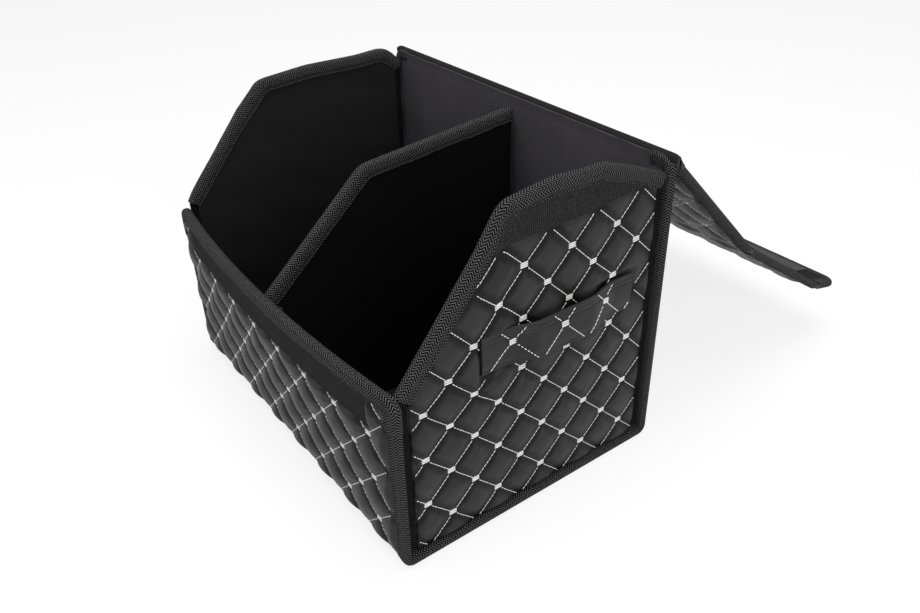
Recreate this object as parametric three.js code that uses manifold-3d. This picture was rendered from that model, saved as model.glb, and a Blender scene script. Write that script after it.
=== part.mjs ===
// A folding boot organizer bag: boarded walls in quilted leatherette with a
// felt lining, two five-sided ends, a loose divider and a lid in three leaves.
// Millimetres. X runs along the bag, -Y is the low front wall, +Y the tall back
// wall with the lid, +Z is up. The origin is the middle of the base's underside.
import * as THREE from 'three';
import { mergeVertices } from 'three/addons/utils/BufferGeometryUtils.js';
import Module from 'manifold-3d';

const wasm = await Module();
wasm.setup();

// The bag's main sizes
const bag_length = 424;
const bag_depth = 290;
const front_height = 181;
const back_height = 299;

// The ends' outline, measured from the outside of the front wall and from the floor
const end_inset = 5;
const end_front_height = 169;
const front_shoulder_from_front = 106;
const right_front_shoulder_height = 311;
const left_front_shoulder_height = 299;
const crown_from_front = 162;
const right_crown_rise = 4;
const left_crown_rise = 1;
const right_rear_shoulder_from_front = 211;
const left_rear_shoulder_from_front = 260;
const right_rear_shoulder_height = 312;
const left_rear_shoulder_height = 303;
const rear_corner_height = 276;
const shoulder_radius = 24;
const crown_radius = 120;

// The layers of a boarded wall
const cover_thickness = 1.3;
const board_thickness = 2.6;
const lining_thickness = 1.4;
const layer_gap = 0.3;
const fold_radius = 9;
const board_edge_margin = 1;

// The quilting
const quilt_pitch_along = 50;
const quilt_pitch_up = 49.2;
const stitch_lift = 0.3;
const quilt_rise = 3.4;
const quilt_shoulder = 0.74;
const quilt_border = 1;
const first_stitch_height = 8;
const end_first_stitch_from_front = 28.7;

// The edge binding and the knitted strips that join the ends to the long walls
const tape_thickness = 1.3;
const tape_width = 10.5;
const tape_bevel = 0.6;
const joining_strip_width = 8;
const joining_strip_thickness = 3;
const joining_strip_recess = 1;

// The loop bands that the lid's hook strip presses on
const band_thickness = 1.2;
const end_band_bottom_height = 278;
const front_band_height = 31;
const front_band_end_margin = 34;

// The carrying handles
const handle_length = 166;
const handle_height = 36;
const handle_from_front = 168;
const handle_center_height = 184;
const handle_thickness = 2.6;
const handle_tab_length = 21;
const handle_ramp_length = 36;
const handle_press_length = 16;
const handle_standoff = 9.6;

// The divider
const divider_place = 0;
const divider_felt_thickness = 1.6;
const divider_front_height = 174;
const divider_shoulder_from_front = 108;
const divider_shoulder_height = 270;
const divider_back_height = 286;
const divider_side_clearance = 0.4;
const hook_strip_width = 20;
const hook_strip_thickness = 1.4;
const hook_strip_margin = 14;

// The lid: a top leaf, a sloping leaf and a front flap, drawn hanging open
const lid_top_length = 184;
const lid_slope_length = 172;
const lid_flap_length = 42;
const lid_open_angle = -45;
const lid_slope_fold_angle = 11;
const lid_flap_fold_angle = 20;
const lid_hinge_rise = 0.9;
const lid_hinge_outset = 1.2;
const lid_hinge_cloth = 15;
const fold_cloth = 4;
const fold_slit = 0.9;
const lid_quilt_start = 24;
const flap_corner_radius = 16;
const flap_hook_height = 22;

// Colours
const leatherette = { color: 0x3a3a3c, roughness: 0.52, metalness: 0 };
const felt = { color: 0x17161a, roughness: 0.98, metalness: 0 };
const pale_felt = { color: 0x2a292e, roughness: 0.98, metalness: 0 };
const knit_tape = { color: 0x1d1d1e, roughness: 0.8, metalness: 0 };
const loop_pile = { color: 0x1a1a1b, roughness: 0.95, metalness: 0 };
const hook_tape = { color: 0x151516, roughness: 0.7, metalness: 0 };
const grey_board = { color: 0x6b6a66, roughness: 0.9, metalness: 0 };

// Depths below a wall's outer face, and how far the binding stands round an edge
const half_length = bag_length / 2;
const half_depth = bag_depth / 2;
const board_outside = cover_thickness + layer_gap;
const board_inside = board_outside + board_thickness;
const lining_outside = board_inside + layer_gap;
const wall_thickness = lining_outside + lining_thickness;
const edge_growth = layer_gap + tape_thickness;
const bound_depth = wall_thickness + edge_growth;
const fold_top = edge_growth + fold_radius;
const quilt_from_edge = tape_width + quilt_border;
const quilt_crown = stitch_lift + quilt_rise;

const organizer = new THREE.Group();

function addPiece(group, name, geometry, look) {
  const piece = new THREE.Mesh(geometry, new THREE.MeshStandardMaterial(look));
  piece.name = name;
  group.add(piece);
  return piece;
}

// Joining and cutting

function toSolid(geometry) {
  const bare = geometry.clone();
  for (const key of Object.keys(bare.attributes)) {
    if (key !== 'position') bare.deleteAttribute(key);
  }
  const merged = mergeVertices(bare, 1e-4);
  const vertProperties = new Float32Array(merged.attributes.position.array);
  const triVerts = new Uint32Array(merged.index.array);
  return new wasm.Manifold(new wasm.Mesh({ numProp: 3, vertProperties, triVerts }));
}

function toGeometry(solid) {
  const mesh = solid.getMesh();
  const geometry = new THREE.BufferGeometry();
  geometry.setAttribute('position', new THREE.BufferAttribute(new Float32Array(mesh.vertProperties), 3));
  geometry.setIndex(new THREE.BufferAttribute(new Uint32Array(mesh.triVerts), 1));
  geometry.computeVertexNormals();
  return geometry;
}

function joined(first, ...others) {
  return toGeometry(others.reduce((solid, other) => solid.add(toSolid(other)), toSolid(first)));
}

function cutAway(first, ...others) {
  return toGeometry(others.reduce((solid, other) => solid.subtract(toSolid(other)), toSolid(first)));
}

function common(first, second) {
  return toGeometry(toSolid(first).intersect(toSolid(second)));
}

// Flat outlines, as lists of [u, v]

function rectangle(u0, u1, v0, v1) {
  return [[u0, v0], [u1, v0], [u1, v1], [u0, v1]];
}

// Rounds each inner corner of an open line by the radius given for it
function rounded(line, radii, steps = 5) {
  const result = [line[0]];
  for (let i = 1; i < line.length - 1; i += 1) {
    const corner = new THREE.Vector2(...line[i]);
    const before = new THREE.Vector2(...line[i - 1]).sub(corner);
    const after = new THREE.Vector2(...line[i + 1]).sub(corner);
    const half_turn = (Math.PI - before.angleTo(after)) / 2;
    if (half_turn < 0.002) continue;
    const room = 0.45 * Math.min(before.length(), after.length());
    const radius = Math.min(radii[i - 1], room / Math.tan(half_turn));
    const way = -Math.sign(before.cross(after));
    before.normalize();
    after.normalize();
    const inward = before.clone().add(after).normalize();
    const center = corner.clone().addScaledVector(inward, radius / Math.cos(half_turn));
    const start = corner.clone().addScaledVector(before, radius * Math.tan(half_turn));
    for (let step = 0; step <= steps; step += 1) {
      const point = start.clone().rotateAround(center, (way * 2 * half_turn * step) / steps);
      result.push([point.x, point.y]);
    }
  }
  result.push(line[line.length - 1]);
  return result;
}

// Shifts an open line sideways; a positive distance is to the left of its run
function shifted(line, distance) {
  const points = line.map((point) => new THREE.Vector2(...point));
  const normals = [];
  for (let i = 0; i < points.length - 1; i += 1) {
    const run = points[i + 1].clone().sub(points[i]).normalize();
    normals.push(new THREE.Vector2(-run.y, run.x));
  }
  return points.map((point, i) => {
    const first = normals[Math.max(i - 1, 0)];
    const second = normals[Math.min(i, normals.length - 1)];
    const miter = first.clone().add(second).normalize();
    const length = distance / miter.dot(first);
    return [point.x + miter.x * length, point.y + miter.y * length];
  });
}

// The strip between two shifts of an open line
function ribbonOutline(line, inner, outer) {
  return [...shifted(line, inner), ...shifted(line, outer).reverse()];
}

function slab(outline, w0, w1, bevel = 0) {
  const shape = new THREE.Shape(outline.map(([u, v]) => new THREE.Vector2(u, v)));
  const options = { depth: w1 - w0 - 2 * bevel, bevelEnabled: bevel > 0, steps: 1 };
  if (bevel > 0) {
    Object.assign(options, { bevelThickness: bevel, bevelSize: bevel, bevelOffset: -bevel, bevelSegments: 1 });
  }
  const geometry = new THREE.ExtrudeGeometry(shape, options);
  geometry.translate(0, 0, w0 + bevel);
  return geometry;
}

// Quilting: domed diamonds between crossing lines of stitches. A quarter-pitch
// grid carries the stitches at its low points and a crown in each diamond.
function quiltHeight(p, q) {
  const on_corner = p % 2 === 0 && q % 2 === 0;
  if (on_corner) return (p + q) % 4 === 0 ? 0 : quilt_rise;
  const on_stitch = p % 2 !== 0 && q % 2 !== 0;
  return on_stitch ? 0 : quilt_rise * quilt_shoulder;
}

function quiltRelief(u0, u1, v0, v1, node_u, node_v) {
  const step_u = quilt_pitch_along / 4;
  const step_v = quilt_pitch_up / 4;
  const p0 = Math.floor((u0 - node_u) / step_u) - 1;
  const p1 = Math.ceil((u1 - node_u) / step_u) + 1;
  const q0 = Math.floor((v0 - node_v) / step_v) - 1;
  const q1 = Math.ceil((v1 - node_v) / step_v) + 1;
  const columns = p1 - p0 + 1;
  const positions = [];
  const faces = [];
  for (const floor of [false, true]) {
    for (let q = q0; q <= q1; q += 1) {
      for (let p = p0; p <= p1; p += 1) {
        const w = floor ? -cover_thickness / 2 : stitch_lift + quiltHeight(p, q);
        positions.push(node_u + p * step_u, node_v + q * step_v, w);
      }
    }
  }
  const floor_start = columns * (q1 - q0 + 1);
  const at = (p, q, floor) => (floor ? floor_start : 0) + (q - q0) * columns + (p - p0);
  const quad = (a, b, c, d) => faces.push(a, b, c, a, c, d);
  for (let q = q0; q < q1; q += 1) {
    for (let p = p0; p < p1; p += 1) {
      const corner = [[p, q], [p + 1, q], [p + 1, q + 1], [p, q + 1]];
      const even = corner.findIndex(([a, b]) => a % 2 === 0 && b % 2 === 0);
      const on_stitch = quiltHeight(...corner[even]) === 0;
      const first = on_stitch ? even : even + 1;
      const ring = [0, 1, 2, 3].map((k) => corner[(first + k) % 4]);
      quad(...ring.map(([a, b]) => at(a, b, false)));
      quad(at(p, q, true), at(p, q + 1, true), at(p + 1, q + 1, true), at(p + 1, q, true));
    }
  }
  for (let p = p0; p < p1; p += 1) {
    quad(at(p, q0, true), at(p + 1, q0, true), at(p + 1, q0, false), at(p, q0, false));
    quad(at(p + 1, q1, true), at(p, q1, true), at(p, q1, false), at(p + 1, q1, false));
  }
  for (let q = q0; q < q1; q += 1) {
    quad(at(p0, q + 1, true), at(p0, q, true), at(p0, q, false), at(p0, q + 1, false));
    quad(at(p1, q, true), at(p1, q + 1, true), at(p1, q + 1, false), at(p1, q, false));
  }
  const geometry = new THREE.BufferGeometry();
  geometry.setAttribute('position', new THREE.Float32BufferAttribute(positions, 3));
  geometry.setIndex(faces);
  return geometry;
}

// A quilted cover: a thin sheet, with the quilting standing on it inside the
// area given and left flat where something is sewn over it
function quiltedCover(sheet, quilted_area, node_u, node_v, flat_patches = []) {
  const window = slab(quilted_area, -cover_thickness, quilt_crown + 1);
  window.computeBoundingBox();
  const { min, max } = window.boundingBox;
  const relief = quiltRelief(min.x, max.x, min.y, max.y, node_u, node_v);
  const patches = flat_patches.map((patch) => slab(patch, -2 * cover_thickness, quilt_crown + 2));
  return joined(sheet, cutAway(common(relief, window), ...patches));
}

// Turns a wall drawn flat, with its outside facing +Z, to stand upright and to
// face the way given: 0 faces -Y, 90 faces +X, 180 faces +Y, -90 faces -X
function standing(parent, facing, x, y, z) {
  const place = new THREE.Group();
  place.position.set(x, y, z);
  place.rotation.z = THREE.MathUtils.degToRad(facing);
  const upright = new THREE.Group();
  upright.rotation.x = Math.PI / 2;
  place.add(upright);
  parent.add(place);
  return upright;
}

// The line of the pressed covers in the YZ plane, from the front wall's top down,
// under the base and up to the back wall's top; a positive shift is inward
function wallLine(front_top, back_top) {
  const line = [
    [-half_depth, front_top],
    [-half_depth, edge_growth],
    [half_depth, edge_growth],
    [half_depth, back_top],
  ];
  return rounded(line, [fold_radius, fold_radius]);
}

// Draws a line of the YZ plane as the left end sees it
function mirrored(line) {
  return line.map(([u, v]) => [-u, v]).reverse();
}

// A bag's side, drawn in the YZ plane: the right end faces +X and the left end -X
const sides = [
  { name: 'right', facing: 90, x: 1, turned: (line) => line },
  { name: 'left', facing: -90, x: -1, turned: mirrored },
];

// The base: the cover is folded up at the front and the back, and is full and
// flat between the bindings of its two ends
function makeBase() {
  const lengthwise = standing(organizer, 90, -half_length, 0, 0);
  const wrap = slab(ribbonOutline(wallLine(front_height, front_height), 0, cover_thickness), 0, bag_length);
  const low = slab(rectangle(-bag_depth, bag_depth, 0, fold_top), 0, bag_length);
  const folded = common(wrap, low);
  const end_margin = tape_width + layer_gap;
  const flat_half_depth = half_depth - fold_radius;
  const underside = rectangle(-flat_half_depth, flat_half_depth, 0, edge_growth + cover_thickness / 2);
  const full = slab(underside, end_margin, bag_length - end_margin);
  addPiece(lengthwise, 'base_cover', joined(folded, full), leatherette);

  const board_half_depth = flat_half_depth - board_edge_margin;
  const board_bottom = edge_growth + board_outside;
  const board = rectangle(-board_half_depth, board_half_depth, board_bottom, board_bottom + board_thickness);
  const board_end = board_edge_margin;
  addPiece(lengthwise, 'base_board', slab(board, board_end, bag_length - board_end), grey_board);

  const lining_half_depth = half_depth - wall_thickness - layer_gap;
  const lining_bottom = edge_growth + lining_outside;
  const lining_top = lining_bottom + lining_thickness;
  const lining = rectangle(-lining_half_depth, lining_half_depth, lining_bottom, lining_top);
  addPiece(lengthwise, 'base_lining', slab(lining, 0, bag_length), felt);
}

// A long wall's board and lining, which are alike at the front and the back
function addWallInside(frame, name, height, look) {
  const board_bottom = fold_top + layer_gap;
  const board_half = half_length - board_edge_margin;
  const board = rectangle(-board_half, board_half, board_bottom, height - board_edge_margin);
  addPiece(frame, `${name}_board`, slab(board, -board_inside, -board_outside), grey_board);
  const lining = rectangle(-half_length, half_length, edge_growth + lining_outside, height);
  addPiece(frame, `${name}_lining`, slab(lining, -wall_thickness, -lining_outside), look);
}

// The front wall, with the loop band under its bound top edge
function makeFront() {
  const frame = standing(organizer, 0, 0, -half_depth, 0);
  const quilt_half = half_length - quilt_from_edge;
  const quilt_bottom = fold_top + layer_gap + quilt_border;
  const quilt_top = front_height - quilt_from_edge;
  const band_half = half_length - front_band_end_margin;
  const band_top = front_height - tape_width - layer_gap;
  const band_bottom = band_top - front_band_height;
  const band_room = band_half + quilt_border;
  const quilted_area = [
    [-quilt_half, quilt_bottom],
    [quilt_half, quilt_bottom],
    [quilt_half, quilt_top],
    [band_room, quilt_top],
    [band_room, band_bottom - quilt_border],
    [-band_room, band_bottom - quilt_border],
    [-band_room, quilt_top],
    [-quilt_half, quilt_top],
  ];
  const sheet = slab(rectangle(-half_length, half_length, fold_top + layer_gap, front_height), -cover_thickness, 0);
  addPiece(frame, 'front_cover', quiltedCover(sheet, quilted_area, 0, first_stitch_height), leatherette);
  addWallInside(frame, 'front', front_height, felt);

  const band = slab(rectangle(-band_half, band_half, band_bottom, band_top), layer_gap, layer_gap + band_thickness);
  addPiece(frame, 'front_loop_band', band, loop_pile);

  const reach = half_length + edge_growth;
  const tape = rectangle(-reach, reach, front_height - tape_width, front_height + edge_growth);
  const room_half = half_length + layer_gap;
  const room = rectangle(-room_half, room_half, 0, front_height + layer_gap);
  const binding = cutAway(
    slab(tape, -bound_depth, edge_growth, tape_bevel),
    slab(room, -wall_thickness - layer_gap, layer_gap),
  );
  addPiece(frame, 'front_top_binding', binding, knit_tape);
}

function makeBack() {
  const frame = standing(organizer, 180, 0, half_depth, 0);
  const quilt_half = half_length - quilt_from_edge;
  const quilt_bottom = fold_top + layer_gap + quilt_border;
  const quilted_area = rectangle(-quilt_half, quilt_half, quilt_bottom, back_height - lid_quilt_start);
  const sheet = slab(rectangle(-half_length, half_length, fold_top + layer_gap, back_height), -cover_thickness, 0);
  addPiece(frame, 'back_cover', quiltedCover(sheet, quilted_area, 0, first_stitch_height), leatherette);
  addWallInside(frame, 'back', back_height, pale_felt);
}

// One binding runs down the front wall's end, under the base and up the back
// wall's end, and wraps all three as a channel
function makeSideBindings() {
  for (const side of sides) {
    const frame = standing(organizer, side.facing, side.x * half_length, 0, 0);
    const front_end = front_height - tape_width - layer_gap;
    const line = side.turned(wallLine(front_end, back_height - fold_cloth));
    const long_line = side.turned(wallLine(front_height, back_height + tape_width));
    const envelope = slab(ribbonOutline(line, -edge_growth, bound_depth), -tape_width, edge_growth, tape_bevel);
    const slot = ribbonOutline(long_line, -layer_gap, wall_thickness + layer_gap);
    const room = slab(slot, -tape_width - 1, layer_gap);
    addPiece(frame, `${side.name}_side_binding`, cutAway(envelope, room), knit_tape);
  }
}

// Each end's upper edge as it is pulled by the cloth, from its front shoulder over
// its crown to its rear shoulder, as distances from the front and heights
const end_shapes = {
  right: [
    [front_shoulder_from_front, right_front_shoulder_height],
    [crown_from_front, right_rear_shoulder_height + right_crown_rise],
    [right_rear_shoulder_from_front, right_rear_shoulder_height],
  ],
  left: [
    [front_shoulder_from_front, left_front_shoulder_height],
    [crown_from_front, left_rear_shoulder_height + left_crown_rise],
    [left_rear_shoulder_from_front, left_rear_shoulder_height],
  ],
};
const highest = 2 * Math.max(right_rear_shoulder_height, left_rear_shoulder_height);

// The upper edge in the YZ plane, from the outside of the front wall to the
// outside of the back wall; a positive shift is outward
function endTopLine(side_name) {
  const line = [
    [-half_depth, end_front_height],
    ...end_shapes[side_name].map(([from_front, height]) => [from_front - half_depth, height]),
    [half_depth, rear_corner_height],
  ];
  return rounded(line, [shoulder_radius, crown_radius, shoulder_radius]);
}

// Keeps an open line between two values of u
function trimmed(line, u0, u1) {
  const result = [];
  for (let i = 0; i < line.length - 1; i += 1) {
    const [a, b] = [line[i], line[i + 1]];
    for (const u of [u0, u1]) {
      if (a[0] < u && u < b[0]) {
        const share = (u - a[0]) / (b[0] - a[0]);
        result.push([u, a[1] + share * (b[1] - a[1])]);
      }
    }
    if (b[0] >= u0 && b[0] <= u1) result.push(b);
  }
  if (line[0][0] >= u0) result.unshift(line[0]);
  return result.sort((a, b) => a[0] - b[0]);
}

function belowLine(line, bottom) {
  return [...line, [line[line.length - 1][0], bottom], [line[0][0], bottom]];
}

// A binding folded over an open upper edge: a channel with its slot below the
// line, cut off upright at the two reaches of u
function edgeBinding(line, outside, inside, reach) {
  const tape = ribbonOutline(line, -tape_width, edge_growth);
  const envelope = slab(tape, inside - edge_growth, outside + edge_growth, tape_bevel);
  const field = slab(rectangle(-reach, reach, 0, highest), -bag_length, bag_length);
  const slot = ribbonOutline(line, -2 * tape_width, layer_gap);
  const room = slab(slot, inside - layer_gap, outside + layer_gap);
  return cutAway(common(envelope, field), room);
}

// A carrying handle: a flat strap sewn down at its two tabs and standing off
// the wall between them
function handleProfile() {
  const half = handle_length / 2;
  const ramp_start = half - handle_tab_length;
  const line = [];
  const steps = 28;
  for (let i = 0; i <= steps; i += 1) {
    const u = -half + (i * handle_length) / steps;
    const ramp = THREE.MathUtils.smoothstep(ramp_start - Math.abs(u), 0, handle_ramp_length);
    line.push([u, layer_gap + handle_standoff * ramp]);
  }
  return ribbonOutline(line, 0, handle_thickness);
}

// The two places where the sewn tabs of a handle press the quilting flat
function handlePresses(handle_u) {
  const inner = handle_length / 2 - handle_tab_length - handle_press_length;
  const outer = handle_length / 2 + quilt_border;
  const below = handle_center_height - handle_height / 2 - quilt_border;
  const above = handle_center_height + handle_height / 2 + quilt_border;
  return [
    rectangle(handle_u - outer, handle_u - inner, below, above),
    rectangle(handle_u + inner, handle_u + outer, below, above),
  ];
}

function makeEnds() {
  const inside_reach = half_depth - bound_depth - layer_gap;
  const panel_half = inside_reach - joining_strip_width - layer_gap;
  const panel_bottom = edge_growth + bound_depth + layer_gap;
  for (const side of sides) {
    const frame = standing(organizer, side.facing, side.x * (half_length - end_inset), 0, 0);
    const top_line = endTopLine(side.name);
    const upTo = (shift, reach, bottom) => {
      return side.turned(belowLine(trimmed(shifted(top_line, shift), -reach, reach), bottom));
    };
    const panel = upTo(0, panel_half, panel_bottom);

    const quilt_half = panel_half - quilt_border;
    const under_tape = upTo(-quilt_from_edge, quilt_half, panel_bottom + quilt_border);
    const handle_u = side.x * (handle_from_front - half_depth);
    const first_node = side.x * (end_first_stitch_from_front - half_depth);
    const above_quilt = rectangle(-half_depth, half_depth, end_band_bottom_height - quilt_border, highest);
    const flat_patches = [above_quilt, ...handlePresses(handle_u)];
    const sheet = slab(panel, -cover_thickness, 0);
    const cover = quiltedCover(sheet, under_tape, first_node, first_stitch_height, flat_patches);
    addPiece(frame, `${side.name}_end_cover`, cover, leatherette);

    const board = upTo(-board_edge_margin, panel_half - board_edge_margin, panel_bottom + board_edge_margin);
    addPiece(frame, `${side.name}_end_board`, slab(board, -board_inside, -board_outside), grey_board);
    addPiece(frame, `${side.name}_end_lining`, slab(panel, -wall_thickness, -lining_outside), felt);

    const under_binding = upTo(-tape_width - layer_gap, panel_half - layer_gap, panel_bottom);
    const band_field = slab(under_binding, layer_gap, layer_gap + band_thickness);
    const above = rectangle(-half_depth, half_depth, end_band_bottom_height, highest);
    addPiece(frame, `${side.name}_end_loop_band`, common(band_field, slab(above, 0, tape_width)), loop_pile);

    const binding = edgeBinding(side.turned(top_line), 0, -wall_thickness, inside_reach);
    addPiece(frame, `${side.name}_end_binding`, binding, knit_tape);

    const strip_places = { front: [-inside_reach, -panel_half - layer_gap], rear: [panel_half + layer_gap, inside_reach] };
    for (const [place, ends] of Object.entries(strip_places)) {
      const strip = side.turned(belowLine(trimmed(top_line, ...ends), fold_top + layer_gap));
      const strip_inside = -joining_strip_recess - joining_strip_thickness;
      const knitted = slab(strip, strip_inside, -joining_strip_recess);
      addPiece(frame, `${side.name}_${place}_joining_strip`, knitted, knit_tape);
    }

    const handle = slab(handleProfile(), 0, handle_height);
    handle.rotateX(Math.PI / 2);
    handle.translate(handle_u, handle_center_height + handle_height / 2, 0);
    addPiece(frame, `${side.name}_handle`, handle, leatherette);
  }
}

// The divider: a felt-covered board with a bound top edge, held at both edges
// by hook strips that grip the felt of the long walls
function makeDivider() {
  const frame = standing(organizer, 90, divider_place, 0, 0);
  const half_board = board_thickness / 2;
  const felt_inside = half_board + layer_gap;
  const felt_outside = felt_inside + divider_felt_thickness;
  const divider_half = half_depth - bound_depth - divider_side_clearance;
  const bottom = edge_growth + wall_thickness + layer_gap;
  const line = [
    [-half_depth, divider_front_height],
    [divider_shoulder_from_front - half_depth, divider_shoulder_height],
    [half_depth, divider_back_height],
  ];
  const top_line = rounded(line, [shoulder_radius]);
  const panel = belowLine(trimmed(top_line, -divider_half, divider_half), bottom);
  const board_half = divider_half - board_edge_margin;
  const board_top = trimmed(shifted(top_line, -board_edge_margin), -board_half, board_half);
  const board = belowLine(board_top, bottom + board_edge_margin);
  addPiece(frame, 'divider_board', slab(board, -half_board, half_board), grey_board);
  addPiece(frame, 'divider_right_felt', slab(panel, felt_inside, felt_outside), felt);
  addPiece(frame, 'divider_left_felt', slab(panel, -felt_outside, -felt_inside), felt);
  const binding = edgeBinding(top_line, felt_outside, -felt_outside, divider_half);
  addPiece(frame, 'divider_binding', binding, knit_tape);

  const strip_u = half_depth - wall_thickness - layer_gap;
  for (const [place, way, top] of [['front', -1, divider_front_height], ['rear', 1, divider_back_height]]) {
    const ends = [way * strip_u, way * (strip_u - hook_strip_thickness)].sort((a, b) => a - b);
    const strip = rectangle(...ends, bottom + hook_strip_margin, top - hook_strip_margin);
    const hook = slab(strip, -hook_strip_width / 2, hook_strip_width / 2);
    addPiece(frame, `divider_${place}_hook_strip`, hook, hook_tape);
  }
}

// A lid leaf is drawn with v running away from the bag's back wall and its
// quilted side facing +w. It turns about the point (0, 0) of its own frame.
function leafFrame(y, z, angle) {
  const hinge = new THREE.Group();
  hinge.position.set(0, y, z);
  hinge.rotation.x = THREE.MathUtils.degToRad(angle - 90);
  organizer.add(hinge);
  return standing(hinge, 180, 0, 0, 0);
}

// The cloth between two leaves: the cover turns in over the board's edge and
// runs on as a thin tongue to the fold, at the depth given
function foldCloth(edge_v, fold_v, depth) {
  const way = Math.sign(fold_v - edge_v);
  const web_ends = [edge_v, edge_v - way * cover_thickness].sort((a, b) => a - b);
  const tongue_ends = [fold_v, edge_v - way * cover_thickness].sort((a, b) => a - b);
  const web = slab(rectangle(-half_length, half_length, ...web_ends), -depth - cover_thickness / 2, 0);
  const tongue_outline = rectangle(-half_length, half_length, ...tongue_ends);
  const tongue = slab(tongue_outline, -depth - cover_thickness / 2, -depth + cover_thickness / 2);
  return [web, tongue];
}

function sideBinding(way, v0, v1) {
  const ends = (near, far) => [way * near, way * far].sort((a, b) => a - b);
  const envelope = rectangle(...ends(half_length - tape_width, half_length + edge_growth), v0, v1);
  const room = rectangle(...ends(0, half_length + layer_gap), v0 - tape_width, v1 + tape_width);
  return cutAway(
    slab(envelope, -bound_depth, edge_growth, tape_bevel),
    slab(room, -wall_thickness - layer_gap, layer_gap),
  );
}

function makeLid() {
  const lining_level = bound_depth + layer_gap;
  const middle = wall_thickness / 2;
  const direction = (angle) => {
    const radians = THREE.MathUtils.degToRad(angle);
    return new THREE.Vector2(Math.cos(radians), Math.sin(radians));
  };
  // The outward face of a leaf points a quarter turn behind its run
  const outward = (angle) => direction(angle - 90);
  const top_angle = lid_open_angle;
  const slope_angle = top_angle + lid_slope_fold_angle;
  const flap_angle = slope_angle + lid_flap_fold_angle;
  const hinge = new THREE.Vector2(half_depth + lid_hinge_outset, back_height + lid_hinge_rise);
  const fold_in_top = middle - lining_level;
  const first_fold = hinge.clone()
    .add(direction(top_angle).multiplyScalar(lid_top_length))
    .add(outward(top_angle).multiplyScalar(-fold_in_top));
  const second_fold = first_fold.clone().add(direction(slope_angle).multiplyScalar(lid_slope_length));

  const leaves = [
    {
      name: 'lid_top', frame: leafFrame(hinge.x, hinge.y, top_angle), lift: lining_level,
      start: { edge: lid_hinge_cloth, fold: fold_slit, depth: lining_level - cover_thickness / 2 - layer_gap },
      end: { edge: lid_top_length - fold_cloth, fold: lid_top_length - fold_slit / 2, depth: middle },
      quilt_start: lid_quilt_start,
    },
    {
      name: 'lid_slope', frame: leafFrame(first_fold.x, first_fold.y, slope_angle), lift: middle,
      start: { edge: fold_cloth, fold: fold_slit / 2, depth: middle },
      end: { edge: lid_slope_length - fold_cloth, fold: lid_slope_length - fold_slit / 2, depth: middle },
      quilt_start: quilt_from_edge,
    },
    {
      name: 'lid_flap', frame: leafFrame(second_fold.x, second_fold.y, flap_angle), lift: middle,
      start: { edge: fold_cloth, fold: fold_slit / 2, depth: middle },
      quilt_start: quilt_from_edge,
    },
  ];
  for (const leaf of leaves) {
    const leaf_group = new THREE.Group();
    leaf_group.position.z = leaf.lift;
    leaf.frame.add(leaf_group);
    if (leaf.end) makeBoardedLeaf(leaf_group, leaf);
    else makeFlap(leaf_group, leaf);
  }
}

function makeBoardedLeaf(group, leaf) {
  const v0 = leaf.start.edge;
  const v1 = leaf.end.edge;
  const quilt_half = half_length - quilt_from_edge;
  const quilted_area = rectangle(-quilt_half, quilt_half, leaf.quilt_start, v1 - quilt_from_edge + fold_cloth);
  const clothed = joined(
    slab(rectangle(-half_length, half_length, v0, v1), -cover_thickness, 0),
    ...foldCloth(v0, leaf.start.fold, leaf.start.depth),
    ...foldCloth(v1, leaf.end.fold, leaf.end.depth),
  );
  addPiece(group, `${leaf.name}_cover`, quiltedCover(clothed, quilted_area, 0, leaf.quilt_start), leatherette);

  const inner0 = v0 + cover_thickness + layer_gap;
  const inner1 = v1 - cover_thickness - layer_gap;
  const board_half = half_length - board_edge_margin;
  const board = rectangle(-board_half, board_half, inner0, inner1);
  addPiece(group, `${leaf.name}_board`, slab(board, -board_inside, -board_outside), grey_board);
  const lining = rectangle(-half_length, half_length, inner0, inner1);
  addPiece(group, `${leaf.name}_lining`, slab(lining, -wall_thickness, -lining_outside), felt);
  addPiece(group, `${leaf.name}_right_binding`, sideBinding(-1, inner0, inner1), knit_tape);
  addPiece(group, `${leaf.name}_left_binding`, sideBinding(1, inner0, inner1), knit_tape);
}

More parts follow.
